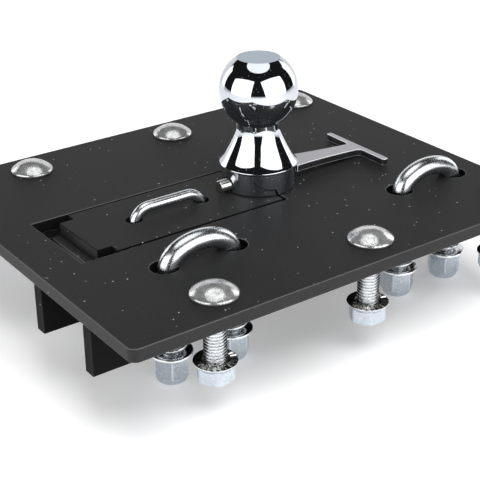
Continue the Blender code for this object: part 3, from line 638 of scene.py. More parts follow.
def tube(points, radius, sides):
    """A round bar swept along a path, with closed ends, as a bmesh."""
    curve = bpy.data.curves.new("sweep", "CURVE")
    curve.dimensions = "3D"
    curve.bevel_depth = radius
    curve.bevel_resolution = sides
    curve.use_fill_caps = True
    spline = curve.splines.new("POLY")
    spline.points.add(len(points) - 1)
    for knot, point in zip(spline.points, points):
        knot.co = (*point, 1.0)
    sweep = bpy.data.objects.new("sweep", curve)
    bpy.context.scene.collection.objects.link(sweep)
    mesh = bpy.data.meshes.new_from_object(sweep)
    bm = bmesh.new()
    bm.from_mesh(mesh)
    bpy.data.objects.remove(sweep, do_unlink=True)
    bpy.data.curves.remove(curve)
    bpy.data.meshes.remove(mesh)
    bmesh.ops.remove_doubles(bm, verts=bm.verts, dist=WELD)
    return bm


def merged(*parts):
    """Several closed shells in one bmesh."""
    whole = bmesh.new()
    for part in parts:
        scratch = bpy.data.meshes.new("scratch")
        bmesh.ops.recalc_face_normals(part, faces=part.faces)
        part.to_mesh(scratch)
        whole.from_mesh(scratch)
        bpy.data.meshes.remove(scratch)
        part.free()
    return whole


def pierced_plate(outline, holes, low, high, edge, dark_within=None):
    """A plate with holes in it, its edges rounded by a small radius.

    The walls that stand within the box dark_within, given by its half sizes, take the plate's third
    finish, which paints shade on them, and the walls outside it the fourth, which paints light on them.
    """
    bm = bmesh.new()
    for loop in [outline] + holes:
        verts = [bm.verts.new((x, y, low)) for x, y in loop]
        for pair in zip(verts, verts[1:] + verts[:1]):
            bm.edges.new(pair)
    bmesh.ops.triangle_fill(bm, edges=bm.edges[:], use_beauty=True, use_dissolve=False)
    grown = bmesh.ops.extrude_face_region(bm, geom=bm.faces[:])
    risen = [item for item in grown["geom"] if isinstance(item, bmesh.types.BMVert)]
    bmesh.ops.translate(bm, verts=risen, vec=(0, 0, high - low))
    bmesh.ops.recalc_face_normals(bm, faces=bm.faces)
    level = 0.001
    flat = [e for e in bm.edges if e.is_manifold and e.calc_face_angle() < level]
    bmesh.ops.dissolve_limit(bm, angle_limit=level, verts=[], edges=flat, delimit={"NORMAL"})
    if dark_within:
        for face in bm.faces:
            middle = face.calc_center_median()
            within = abs(middle.x) < dark_within[0] and abs(middle.y) < dark_within[1]
            if abs(face.normal.z) < 0.5:
                face.material_index = 2 if within else 3
    round_edges(bm, edge, finish_index=1)
    return bm


def round_edges(bm, radius, segments=3, finish_index=0):
    """Round the sharp edges; the rounds may take a finish of their own."""
    limit = math.radians(ROUNDED)
    sharp = [edge for edge in bm.edges if edge.is_manifold and edge.calc_face_angle() > limit]
    made = bmesh.ops.bevel(
        bm,
        geom=sharp,
        offset=radius,
        offset_type="OFFSET",
        segments=segments,
        profile=0.5,
        affect="EDGES",
        clamp_overlap=False,
        material=-1,
    )
    for face in made["faces"]:
        face.material_index = finish_index


def moved(bm, place, turn=None):
    """Turn a bmesh about the origin, then shift it."""
    if turn:
        bmesh.ops.rotate(bm, cent=(0, 0, 0), matrix=Matrix.Rotation(*turn), verts=bm.verts)
    bmesh.ops.translate(bm, vec=place, verts=bm.verts)
    return bm


def carved(obj, cutter_bm):
    """Cut a closed shape out of a piece, with both in their final place."""
    mesh = bpy.data.meshes.new("cutter")
    bmesh.ops.recalc_face_normals(cutter_bm, faces=cutter_bm.faces)
    cutter_bm.to_mesh(mesh)
    cutter_bm.free()
    cutter = bpy.data.objects.new("cutter", mesh)
    bpy.context.scene.collection.objects.link(cutter)
    cut = obj.modifiers.new("cut", "BOOLEAN")
    cut.operation = "DIFFERENCE"
    cut.solver = "EXACT"
    cut.object = cutter
    bpy.context.view_layer.update()
    graph = bpy.context.evaluated_depsgraph_get()
    result = bpy.data.meshes.new_from_object(obj.evaluated_get(graph))
    obj.modifiers.remove(cut)
    obj.data = result
    bpy.data.objects.remove(cutter, do_unlink=True)
    return obj


def make_piece(bm, node, finishes, smooth=SHARP, body=None, even=False):
    """Turn a bmesh into a piece that stands for a CAD node and rides on its body."""
    bmesh.ops.remove_doubles(bm, verts=bm.verts, dist=WELD / 10)
    bmesh.ops.recalc_face_normals(bm, faces=bm.faces)
    name = f"{node}_detail"
    mesh = bpy.data.meshes.new(name)
    bm.to_mesh(mesh)
    bm.free()
    for each in finishes:
        mesh.materials.append(finish(each))
    obj = bpy.data.objects.new(name, mesh)
    bpy.context.scene.collection.objects.link(obj)
    mesh.shade_smooth()
    mesh.set_sharp_from_angle(angle=math.radians(smooth))
    if even:
        evened = obj.modifiers.new("even_normals", "WEIGHTED_NORMAL")
        evened.weight = 50
        evened.keep_sharp = True
    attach(obj, body or BODY_OF[node])
    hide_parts(node)
    return obj


def plate_piece(bm, node, *finishes):
    """A flat piece, whose wide faces stay flat beside their rounded edges."""
    make_piece(bm, node, finishes, SHARP_PLATE, even=True)


def smooth_again(obj, angle=SHARP):
    """Set the sharp edges of a piece that was cut."""
    obj.data.shade_smooth()
    obj.data.set_sharp_from_angle(angle=math.radians(angle))


# Deck plate, rails and arm


def rounded_rectangle(half_x, half_y, radius, steps=10):
    outline = []
    for sign_x, sign_y, start in ((1, 1, 0), (-1, 1, 90), (-1, -1, 180), (1, -1, 270)):
        corner = (sign_x * (half_x - radius), sign_y * (half_y - radius))
        outline += arc(*corner, radius, start, start + 90, steps)
    return outline


def slot_outline(half_width, square_end, nose, left_end, axis_x, steps=32):
    """A slot about the ball's axis: square on the left, a narrower round nose on the right."""
    curve = arc(0, 0, nose, -90, 90, steps)
    start = [(left_end, -half_width), (square_end, -half_width), (square_end, -nose)]
    end = [(square_end, nose), (square_end, half_width), (left_end, half_width)]
    return [(x + axis_x, y) for x, y in start + curve + end]


def round_hole(x, y, radius, segments=48):
    return arc(x, y, radius, 0, 360 * (segments - 1) / segments, segments - 1)


def square_hole(x, y, half, corner=0.0008):
    return [(x + dx, y + dy) for dx, dy in rounded_rectangle(half, half, corner, 3)]


class HITCH_OT_deck(bpy.types.Operator):
    """Make the deck plate with its opening, bolt holes and U-bolt holes"""

    bl_idname = "hitch.deck"
    bl_label = "Deck plate"

    def execute(self, context):
        s = sizes()
        low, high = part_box("main_plate")
        axis = centre_of("hitch_ball").x
        outline = rounded_rectangle(high[0], high[1], s.plate_corner)
        nose = s.nose + s.nose_gap
        holes = [slot_outline(s.opening_half, -s.opening_shoulder, nose, -s.opening_left, axis)]
        for number in BOLT_NUMBERS:
            bolt = centre_of(f"bed_bolt_{number}")
            holes.append(square_hole(bolt.x, bolt.y, s.neck_hole))
        for word, leg in U_LEGS:
            nut = centre_of(f"u_bolt_nut_{word}_{leg}")
            holes.append(round_hole(nut.x + U_HOLE_SHIFT[leg], nut.y, s.u_hole))
        # The walls of the opening and holes lie within this box and take the darker coat as painted
        # shade; the outer walls take the lighter side coat as painted light
        within = (high[0] - s.plate_corner, high[1] - s.plate_corner)
        bm = pierced_plate(outline, holes, low[2], high[2], s.edge, within)
        plate_piece(bm, "main_plate", "deck_coat", "edge_coat", "rail_coat", "side_coat")
        return {"FINISHED"}


class HITCH_OT_rails(bpy.types.Operator):
    """Make the four bars on edge under the deck"""

    bl_idname = "hitch.rails"
    bl_label = "Rails"

    def execute(self, context):
        for node in ("rail_outer_near", "rail_inner_near", "rail_inner_far", "rail_outer_far"):
            low, high = (Vector(corner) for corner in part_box(node))
            bm = block(high - low, (low + high) / 2)
            # The rails' faces take the darker coat as painted shade under the deck; their rounded edges
            # keep the plain deck coat
            round_edges(bm, sizes().edge, finish_index=1)
            plate_piece(bm, node, "rail_coat", "deck_coat")
        return {"FINISHED"}


class HITCH_OT_arm(bpy.types.Operator):
    """Make the inset arm plate with its tongue, nose and holes"""

    bl_idname = "hitch.arm"
    bl_label = "Arm plate"

    def execute(self, context):
        s = sizes()
        low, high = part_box("arm_plate")
        axis = centre_of("hitch_ball").x
        tongue_root = s.tongue - s.arm_reach
        tongue_end = axis - s.arm_reach
        outline = slot_outline(s.arm_half, -s.arm_end, s.nose, tongue_root, axis)
        outline += [
            (tongue_root + axis, s.tongue_half),
            (tongue_end, s.tongue_half),
            (tongue_end, -s.tongue_half),
            (tongue_root + axis, -s.tongue_half),
        ]
        holes = [round_hole(axis, 0.0, s.shank_hole, 64)]
        for word in SIDES:
            grip = centre_of(f"grab_nut_{word}")
            holes.append(round_hole(grip.x, grip.y, s.grip_hole, 40))
        edge = s.edge * 0.7
        # The arm's rounded edges and its walls, except at the tongue's end, take the darker coat as
        # painted shade; the tongue's end takes the lighter side coat as painted light
        all_but_end = (abs(tongue_end) - 0.001, WHOLE)
        bm = pierced_plate(outline, holes, low[2], high[2], edge, all_but_end)
        plate_piece(bm, "arm_plate", "deck_coat", "rail_coat", "rail_coat", "side_coat")
        return {"FINISHED"}


class HITCH_OT_hinge(bpy.types.Operator):
    """Make the hinge lug, its pivot pin, washer and cotter pin"""

    bl_idname = "hitch.hinge"
    bl_label = "Arm hinge"

    def execute(self, context):
        self.lug()
        self.pin()
        self.washer()
        self.cotter()
        return {"FINISHED"}

    def lug(self):
        low, high = (Vector(corner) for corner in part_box("hinge_lug"))
        radius = (high.x - low.x) / 2
        half = (high.y - low.y) / 2
        outline = [(radius, radius), (-radius, radius)] + arc(0, 0, radius, 180, 360, 32)
        bore_share = 0.62
        bore = round_hole(0, 0, radius * bore_share, 40)
        bm = pierced_plate(outline, [bore], -half, half, sizes().edge)
        moved(bm, (low + high) / 2, (TURN / 4, 3, "X"))
        # The lug takes the lighter side coat as painted light, and its rounded edges the lighter edge
        # coat as painted highlight
        plate_piece(bm, "hinge_lug", "side_coat", "edge_coat")

    def pin(self):
        low, high = (Vector(corner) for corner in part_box("pivot_pin"))
        centre = (low + high) / 2
        length = high.y - low.y
        head = (high.z - low.z) / 2
        head_end = 0.004
        shank = head * 0.633
        soft = head * 0.16
        chamfer = 0.0009
        profile = [(0.0, 0.0)] + arc(head - soft, soft, soft, -90, 0, 4)
        profile += [(head, head_end), (shank, head_end)]
        profile += [(shank, length - chamfer), (shank - chamfer, length), (0.0, length)]
        bm = moved(lathe(profile, 48), (0, 0, -length / 2))
        piece = make_piece(moved(bm, centre, ALONG_Y), "pivot_pin", ["pin_steel"])
        cotter = (centre.x, centre_of("cotter_pin").y, centre.z)
        bore = plug(radius=0.0016, half_length=0.02, segments=20)
        smooth_again(carved(piece, moved(bore, cotter, ALONG_X)))

    def washer(self):
        low, high = (Vector(corner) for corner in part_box("pivot_washer"))
        centre = (low + high) / 2
        bm = washer_shape((high.z - low.z) / 2, bore=0.00495, thickness=high.y - low.y)
        make_piece(moved(bm, (centre.x, low.y, centre.z), ALONG_Y), "pivot_washer", ["washer_zinc"])

    def cotter(self):
        """One wire: bent tip, leg, eye, leg and bent tip."""
        low, high = (Vector(corner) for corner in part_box("cotter_pin"))
        centre = (low + high) / 2
        wire = (high.y - low.y) / 2
        half_gap = wire * 1.15
        eye = 0.0023
        opening = math.degrees(math.asin(half_gap / eye))
        loop = arc(high.x - wire - eye, 0.0, eye, -180 + opening, 180 - opening, 28)
        tip = low.x + wire
        bend = tip + 0.0021
        tip_rise = (high.z - low.z) / 2 - wire * 0.8
        leg = [(bend, half_gap), (bend - 0.0009, half_gap + 0.0014), (tip, tip_rise)]
        path = [(x, -z) for x, z in reversed(leg)] + loop + leg
        bm = tube([(x, centre.y, centre.z + z) for x, z in path], wire, 4)
        make_piece(bm, "cotter_pin", ["pin_steel"])


# Bolts, nuts and washers


def washer_shape(outer, bore, thickness):
    """A stamped washer, its lower face at height 0, its upper edge rolled by the punch."""
    soft = thickness * 0.25
    profile = [
        (bore, soft),
        (bore + soft, 0.0),
        (outer - soft * 0.4, 0.0),
        (outer, soft * 0.4),
        (outer, thickness - soft * 1.2),
        (outer - soft * 0.4, thickness - soft * 0.4),
        (outer - soft * 1.2, thickness),
        (bore + soft, thickness),
        (bore, thickness - soft),
    ]
    return lathe(profile, 64, closed=True)


def washer_piece(node, rod):
    """A washer that lies flat round a rod."""
    low, high = (Vector(corner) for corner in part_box(node))
    bm = washer_shape((high.y - low.y) / 2, rod + CLEARANCE, high.z - low.z)
    return make_piece(moved(bm, spot(node, low.z)), node, ["washer_zinc"])


def plain_nut_piece(node, rod):
    """A hexagon nut on an upright rod."""
    low, high = (Vector(corner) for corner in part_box(node))
    bm = plain_nut(high.y - low.y, high.z - low.z, rod + CLEARANCE)
    make_piece(moved(bm, spot(node, high.z)), node, ["nut_zinc"], SHARP_NUT)


def threaded_legs(half, **thread):
    """Two threaded rods at a distance of half to either side of the origin."""
    return [moved(threaded_rod(**thread), (side * half, 0.0, 0.0)) for side in (-1, 1)]


def carriage_bolt():
    """Domed head, square neck and threaded shank, with the head's underside at height 0."""
    s = sizes()
    length = top_of("bed_bolt_1") - s.bolt_rise - foot_of("bed_bolt_1")
    rise = s.bolt_rise - s.bolt_rim
    reach = s.bolt_head - 0.0004
    dome = (reach**2 + rise**2) / (2 * rise)
    spread = math.degrees(math.asin(reach / dome))
    curve = arc(0.0, s.bolt_rise - dome, dome, 90 - spread, 90, 20)
    plain = s.bolt * 0.985
    thread_top = -0.0095
    neck_side = 0.0162
    head = [(0.0, thread_top), (plain, thread_top), (plain, -0.0004)]
    head += [(s.bolt_head - 0.0007, 0.0), (s.bolt_head - 0.0002, 0.0002), (s.bolt_head, 0.0007)]
    head += [(s.bolt_head, s.bolt_rim - 0.0009), (s.bolt_head - 0.0001, s.bolt_rim - 0.0005)]
    head += curve[:-1] + [(0.0, s.bolt_rise)]
    neck = block((neck_side, neck_side, neck_side / 2), (0, 0, -0.00395))
    round_edges(neck, s.edge, 2)
    thread = threaded_rod(s.bolt, s.bolt_pitch, -length, thread_top + OVERLAP, end_chamfer=0.0014)
    return merged(lathe(head, 80), neck, thread)


def flange_nut():
    """A flange nut with a serrated seat. The flange's top is at height 0."""
    s = sizes()
    height = top_of("bed_nut_1") - foot_of("bed_nut_1")
    bore = s.bolt + CLEARANCE
    side = hexagon(s.nut_flats)
    # How far the flange's upper cone runs out for each metre that it falls
    run = (s.flange - s.nut_flats * 0.53) / 0.0026

    def tooth(depth):
        return lambda angle: -depth * ((angle * s.teeth / TURN) % 1.0)

    def under_flange(angle):
        return max(-0.0014 - (s.flange - side(angle)) / run, -0.0046)

    levels = [
        (bore, -0.0012),
        (bore + 0.0009, -0.0002),
        (bore + 0.0016, -0.0002),
        (bore + 0.0021, tooth(s.tooth * 0.7)),
        (s.flange - 0.0009, tooth(s.tooth)),
        (s.flange - 0.0001, -0.0007),
        (s.flange, -0.0011),
        (s.flange - 0.0002, -0.0016),
        (lambda angle: side(angle) + 0.0003, under_flange),
        (side, lambda angle: under_flange(angle) - 0.0003),
        (side, chamfer_line(s.nut_flats, -height, -1)),
        (s.nut_flats / 2 * CHAMFER_START, -height),
        (bore + 0.001, -height),
        (bore, -height + 0.001),
    ]
    return ring_stack(levels, s.teeth * 6)


def plain_nut(flats, height, bore):
    """A hexagon nut chamfered at both ends. Its top is at height 0."""
    side = hexagon(flats)
    start = flats / 2 * CHAMFER_START
    soft = height * 0.08
    levels = [
        (bore, -soft),
        (bore + soft, 0.0),
        (start, 0.0),
        (side, chamfer_line(flats, 0.0, 1)),
        (side, chamfer_line(flats, -height, -1)),
        (start, -height),
        (bore + soft, -height),
        (bore, -height + soft),
    ]
    return ring_stack(levels, 72)


def lock_nut(flats, height, bore):
    """A hexagon nut with a rolled collar at its lower end that holds a nylon ring."""
    side = hexagon(flats)
    collar = height * 0.24
    outer = flats / 2 * 0.94
    start = flats / 2 * CHAMFER_START
    foot = -height
    roll = outer * 0.3
    curve = arc(outer - roll, foot + roll, roll, 0, -90, 8)
    levels = [
        (bore, -0.0008),
        (bore + 0.0008, 0.0),
        (start, 0.0),
        (side, chamfer_line(flats, 0.0, 1)),
        (side, chamfer_line(flats, foot + collar, -1, 0.75)),
        (outer + 0.0002, foot + collar - 0.0003),
        (outer, foot + collar - 0.0008),
    ]
    levels += curve
    levels += [(bore + 0.0006, foot + 0.0002), (bore + 0.0004, foot + 0.0008), (bore, foot + 0.0011)]
    return ring_stack(levels, 144)


class HITCH_OT_bed_bolts(bpy.types.Operator):
    """Make the six carriage bolts"""

    bl_idname = "hitch.bed_bolts"
    bl_label = "Carriage bolts"

    def execute(self, context):
        shape = carriage_bolt()
        mark_faces(shape, 1, lambda middle: middle.z < -0.001)
        for number in BOLT_NUMBERS:
            node = f"bed_bolt_{number}"
            piece = moved(shape.copy(), spot(node, top_of(node) - sizes().bolt_rise))
            make_piece(piece, node, ["bolt_zinc", "thread_zinc"], SHARP_BOLT)
        shape.free()
        return {"FINISHED"}


class HITCH_OT_bed_nuts(bpy.types.Operator):
    """Make the six serrated flange nuts"""

    bl_idname = "hitch.bed_nuts"
    bl_label = "Flange nuts"

    def execute(self, context):
        shape = flange_nut()
        # The flange's serrated top takes a brighter zinc than the nut as painted highlight
        mark_faces(shape, 1, lambda middle: middle.z > -0.0013)
        for number in BOLT_NUMBERS:
            node = f"bed_nut_{number}"
            piece = moved(shape.copy(), spot(node, top_of(node)))
            make_piece(piece, node, ["nut_zinc", "serrated_zinc"], SHARP_NUT)
        shape.free()
        return {"FINISHED"}


# Hitch ball


def flare_curve(foot, top, steps=30):
    """The hollow flare from its rim up to the neck.

    Its lean is given in degrees at shares of its height.
    """
    leans = ((0.0, 44.0), (0.2, 33.0), (0.6, 28.0), (1.0, 0.0))
    height = top[1] - foot[1]
    runs = [0.0]
    for i in range(steps):
        share = (i + 0.5) / steps
        for (start, lean), (end, next_lean) in zip(leans, leans[1:]):
            if start <= share < end:
                angle = lean + (next_lean - lean) * (share - start) / (end - start)
        runs.append(runs[-1] + math.tan(math.radians(angle)))
    narrowing = (foot[0] - top[0]) / runs[-1]
    return [(foot[0] - run * narrowing, foot[1] + height * i / steps) for i, run in enumerate(runs)][1:]


def ball_profile():
    """Radius and height of the ball over the deck, from the top of its thread to the flat."""
    s = sizes()
    lip = 0.001
    soft = 0.0009
    foot = 0.0003
    shank = s.shank - 0.0006
    shoulder = s.rim_height - 2 * lip - (s.rim - s.collar) / 2
    points = [(0.0, -0.006), (shank, -0.006), (shank, foot)]
    points += arc(s.collar - soft, foot + soft, soft, -90, 0, 4)
    points += [(s.collar, shoulder), (s.collar + 0.0003, shoulder + 0.0003)]
    points += arc(s.rim - lip, s.rim_height - lip, lip, -35, 44, 9)
    neck_foot = s.rim_height + s.flare
    points += flare_curve(points[-1], (s.neck, neck_foot))
    radius = s.ball / 2
    start = math.degrees(math.acos(s.neck / radius))
    end = math.degrees(math.acos(s.ball_flat / radius))
    centre = neck_foot + s.neck_length + math.sqrt(radius**2 - s.neck**2)
    points += arc(0.0, centre, radius, -start, end, 56)
    points.append((0.0, points[-1][1]))
    return points


class HITCH_OT_ball(bpy.types.Operator):
    """Make the chromed hitch ball, its spring washer and its nut"""

    bl_idname = "hitch.ball"
    bl_label = "Hitch ball"

    def execute(self, context):
        self.ball()
        self.washer()
        plain_nut_piece("ball_nut", sizes().shank)
        return {"FINISHED"}

    def ball(self):
        s = sizes()
        deck = top_of("main_plate")
        place = spot("hitch_ball", deck)
        turned = lathe(ball_profile(), 160)
        top = max(vert.co.z for vert in turned.verts)
        collar_top = s.rim_height - 0.0024
        margin = 1e-5
        for face in turned.faces:
            if all(vert.co.z > top - margin for vert in face.verts):
                face.material_index = 1
            elif all(vert.co.z < collar_top for vert in face.verts):
                face.material_index = 3
        low = foot_of("hitch_ball") - deck
        thread = threaded_rod(s.shank, s.shank_pitch, low, -0.0055, end_chamfer=0.0018, steps=48)
        mark_faces(thread, 2, lambda middle: True)
        bm = moved(merged(turned, thread), place)
        finishes = ["chrome", "ball_top", "bolt_zinc", "satin_chrome"]
        piece = make_piece(bm, "hitch_ball", finishes, SHARP_BALL)
        for cutter in self.bores(place):
            carved(piece, cutter)
        smooth_again(piece, SHARP_BALL)

    def bores(self, place):
        """The pull pin's bore, then the shallow flat round each of its mouths."""
        s = sizes()
        height = place + Vector((0, 0, s.pin_height))
        yield moved(plug(s.pin + CLEARANCE, half_length=0.06, segments=48), height, ALONG_X)
        for side in (-1, 1):
            mouth = height + Vector((side * s.collar, 0, 0.0003))
            yield moved(plug(radius=0.0062, half_length=0.0011, segments=56), mouth, ALONG_X)

    def washer(self):
        """A spring washer, split by a leaning cut."""
        piece = washer_piece("ball_washer", sizes().shank)
        place = spot("ball_washer", foot_of("ball_washer")) + Vector((0.03, 0, 0.0017))
        lean = (0.35, 3, "X")
        saw = block((0.036, 0.003, 0.012))
        smooth_again(carved(piece, moved(saw, place, lean)))


# Pull pin


def handle_outline():
    """The T from above, about the ball's axis: stem, fillets, crossbar and the notch for the pin."""
    s = sizes()
    low, high = (Vector(corner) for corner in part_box("lock_pin_handle"))
    axis = centre_of("hitch_ball").x
    root = low.x - axis
    reach = high.x - axis
    inner = reach - s.crossbar
    half_bar = (high.y - low.y) / 2
    half_end = s.stem_end / 2
    half_root = s.stem_root / 2
    notch = s.pin + 0.0003
    fillet_radius = 0.0035
    round_off = 0.002
    socket_depth = 0.006
    steps = 12
    waist_end = inner - fillet_radius
    waist = []
    for i in range(steps):
        t = i / steps
        waist.append((root + (waist_end - root) * t, half_end + (half_root - half_end) * (1 - t) ** 2))
    fillet = arc(waist_end, half_end + fillet_radius, fillet_radius, -90, 0, 8)
    bar_in = arc(inner + round_off, half_bar - round_off, round_off, 180, 90, 6)
    bar_out = arc(reach - round_off, half_bar - round_off, round_off, 90, 0, 6)
    upper = [(root, notch)] + waist + fillet + bar_in + bar_out
    lower = [(x, -y) for x, y in reversed(upper)]
    socket = [(root + socket_depth, -notch), (root + socket_depth, notch)]
    return [(x + axis, y) for x, y in upper + lower + socket]


class HITCH_OT_lock_pin(bpy.types.Operator):
    """Make the pull pin's rod and its T-shaped handle"""

    bl_idname = "hitch.lock_pin"
    bl_label = "Pull pin"

    def execute(self, context):
        self.rod()
        self.handle()
        return {"FINISHED"}

    def rod(self):
        s = sizes()
        low, high = (Vector(corner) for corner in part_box("lock_pin_rod"))
        centre = (low + high) / 2
        length = high.x - low.x
        soft = 0.0007
        profile = [(0.0, 0.0)] + arc(s.pin - soft, soft, soft, -90, 0, 4)
        profile += [(s.pin, length), (0.0, length)]
        bm = moved(lathe(profile, 48), (low.x, centre.y, centre.z), ALONG_X)
        make_piece(bm, "lock_pin_rod", ["pin_steel"])

    def handle(self):
        """A flat T that falls towards its crossbar."""
        s = sizes()
        low, high = (Vector(corner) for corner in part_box("lock_pin_handle"))
        top = low.z + s.handle_plate
        bm = pierced_plate(handle_outline(), [], low.z, top, s.handle_edge, (WHOLE, WHOLE))
        fall = (high.z - top) / (high.x - low.x)
        lean = Matrix(((1, 0, 0, 0), (0, 1, 0, 0), (-fall, 0, 1, fall * high.x), (0, 0, 0, 1)))
        bmesh.ops.transform(bm, matrix=lean, verts=bm.verts)
        # The handle's walls take a darker copy of its zinc as painted shade, and its rounded edges a
        # brighter zinc as painted highlight
        plate_piece(bm, "lock_pin_handle", "handle_zinc", "handle_edge", "handle_side")


# Grab handle


class HITCH_OT_grab_handle(bpy.types.Operator):
    """Make the grab handle with its washers and nuts"""

    bl_idname = "hitch.grab_handle"
    bl_label = "Grab handle"

    def execute(self, context):
        s = sizes()
        low, high = (Vector(corner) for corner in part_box("grab_handle"))
        centre = (low + high) / 2
        half = (high.x - low.x) / 2 - s.grip
        top = high.z - s.grip
        thread_length = 0.01
        thread_top = foot_of("grab_washer_left") + thread_length
        bend = arc(half - s.grip_bend, top - s.grip_bend, s.grip_bend, 90, 0, 16)
        right = bend + [(half, thread_top)]
        path = [(-x, z) for x, z in reversed(right)] + right
        bar = tube([(x, 0.0, z) for x, z in path], s.grip, 10)
        thread = {"radius": s.grip, "pitch": 0.0013, "low": low.z, "high": thread_top + 0.0003}
        legs = threaded_legs(half, **thread, end_chamfer=0.0008, steps=24)
        bm = moved(merged(bar, *legs), (centre.x, centre.y, 0.0))
        make_piece(bm, "grab_handle", ["bright_zinc"], SHARP_ROD)
        for word in SIDES:
            washer_piece(f"grab_washer_{word}", s.grip)
            plain_nut_piece(f"grab_nut_{word}", s.grip)
        return {"FINISHED"}


# Safety-chain U-bolts


def u_bolt_shape(node, thread_top):
    """A U-bolt about its own middle: an elliptical arch, plain legs and threaded ends."""
    s = sizes()
    low, high = (Vector(corner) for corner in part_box(node))
    half = (high.x - low.x) / 2 - s.u_rod
    deck = high.z - s.u_rod - s.u_rise + s.u_sink
    angles = [math.pi * (1 - i / 56) for i in range(57)]
    arch = [(half * math.cos(a), 0.0, deck - s.u_sink + s.u_rise * math.sin(a)) for a in angles]
    bar = tube([(-half, 0.0, thread_top)] + arch + [(half, 0.0, thread_top)], s.u_rod, 14)
    thread = {"radius": s.u_rod, "pitch": s.u_pitch, "low": low.z, "high": thread_top + OVERLAP}
    legs = threaded_legs(half, **thread, end_chamfer=0.0012, steps=36)
    return merged(bar, *legs)


class HITCH_OT_u_bolts(bpy.types.Operator):
    """Make the two safety-chain U-bolts"""

    bl_idname = "hitch.u_bolts"
    bl_label = "U-bolts"

    def execute(self, context):
        thread_length = 0.052
        for word in SIDES:
            node = f"u_bolt_{word}"
            bm = u_bolt_shape(node, foot_of(node) + thread_length)
            make_piece(moved(bm, spot(node, 0.0)), node, ["bright_zinc"], SHARP_ROD)
        return {"FINISHED"}


class HITCH_OT_u_bolt_nuts(bpy.types.Operator):
    """Make the U-bolts' lock nuts and washers"""

    bl_idname = "hitch.u_bolt_nuts"
    bl_label = "U-bolt nuts"

    def execute(self, context):
        s = sizes()
        for word, leg in U_LEGS:
            node = f"u_bolt_nut_{word}_{leg}"
            height = top_of(node) - foot_of(node)
            bm = lock_nut(s.u_flats, height, s.u_rod + CLEARANCE)
            ring_top = 0.0011 - height
            ring_edge = s.u_rod + 0.0008
            mark_faces(bm, 1, lambda m: m.z < ring_top and math.hypot(m.x, m.y) < ring_edge)
            bm.normal_update()
            # The corners and upper chamfer take a lighter copy of the nut zinc as painted highlight
            mark_corner_highlights(bm, 2, s.u_flats * 0.48)
            turn = (math.radians(NUT_TURNS[word, leg]), 3, "Z")
            moved(bm, spot(node, top_of(node)), turn)
            make_piece(bm, node, ["nut_zinc", "nylon", "nut_edge"], SHARP_NUT)
            washer_piece(f"u_bolt_washer_{word}_{leg}", s.u_rod)
        return {"FINISHED"}


def spring_path(length, mean, wire, turns=5, points=28):
    """Centre line of a coil spring that stands on height 0, with one closed turn at each end."""
    closed_pitch = 2 * wire * 1.15
    open_pitch = (length - 2 * wire - 2 * closed_pitch) / turns
    path = []
    for i in range((turns + 2) * points + 1):
        turn = i / points
        closed = min(turn, 1) + max(turn - 1 - turns, 0)
        opened = min(max(turn - 1, 0), turns)
        height = wire + closed * closed_pitch + opened * open_pitch
        path.append((mean * math.cos(TURN * turn), mean * math.sin(TURN * turn), height))
    return path


class HITCH_OT_springs(bpy.types.Operator):
    """Make the coil springs that hold the U-bolts down"""

    bl_idname = "hitch.springs"
    bl_label = "Coil springs"

    def execute(self, context):
        s = sizes()
        gap = 0.0016
        mean_radius = s.u_rod + gap + s.wire
        for word, leg in U_LEGS:
            node = f"u_bolt_spring_{word}_{leg}"
            low, high = (Vector(corner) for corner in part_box(node))
            length = high.z - low.z
            mean = centre_of(f"u_bolt_nut_{word}_{leg}")
            bm = tube(spring_path(length, mean_radius, s.wire), s.wire, 4)
            moved(bm, (mean.x, mean.y, low.z))
            piece = make_piece(bm, node, ["spring_wire"], SHARP_PLATE, body="frame")
            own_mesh(piece)
        return {"FINISHED"}


# Studio


def panel(name, place, aim, wide, tall, power):
    """A rectangular lamp of some watts that neither the camera nor polished metal shows."""
    lamp = bpy.data.lights.new(name, "AREA")
    lamp.shape = "RECTANGLE"
    lamp.size = wide
    lamp.size_y = tall
    lamp.energy = power
    obj = bpy.data.objects.new(name, lamp)
    bpy.context.scene.collection.objects.link(obj)
    obj.location = place
    obj.rotation_euler = (Vector(aim) - Vector(place)).to_track_quat("-Z", "Y").to_euler()
    obj.visible_camera = False
    obj.visible_glossy = False


def standing_panel(name, azimuth, spread, tall, power):
    """A soft light that stands on the floor and faces the hitch, spread over some degrees."""
    reach = sizes().panel_reach
    angle = math.radians(azimuth)
    place = (reach * math.cos(angle), reach * math.sin(angle), tall / 2)
    wide = 2 * reach * math.tan(math.radians(spread / 2))
    panel(name, place, (0, 0, tall / 2), wide, tall, power)


def glow_finish(name, strength):
    """A sheet that gives off plain white light and reflects none."""
    made = Finish(name)
    made.set("Base Color", BLACK).set("Roughness", 1.0).set("Specular IOR Level", 0.0)
    made.set("Emission Color", WHITE).set("Emission Strength", strength)
    return made.material


def stage_piece(name, bm, material, mirrored_only=False):
    """A piece of the studio, which the hitch's record doesn't hold."""
    mesh = bpy.data.meshes.new(name)
    bm.to_mesh(mesh)
    bm.free()
    mesh.materials.append(material)
    obj = bpy.data.objects.new(name, mesh)
    bpy.context.scene.collection.objects.link(obj)
    if mirrored_only:
        obj.visible_camera = obj.visible_diffuse = obj.visible_transmission = obj.visible_shadow = False


def bearing(azimuth, elevation):
    """The point that the ball's middle sees in a direction, in degrees, at the cards' distance."""
    s = sizes()
    middle = spot("hitch_ball", top_of("hitch_ball") - s.ball / 2)
    around, above = math.radians(azimuth), math.radians(elevation)
    flat = Vector((math.cos(around), math.sin(around), 0.0)) * math.cos(above)
    return middle + (flat + Vector((0.0, 0.0, math.sin(above)))) * s.card_reach


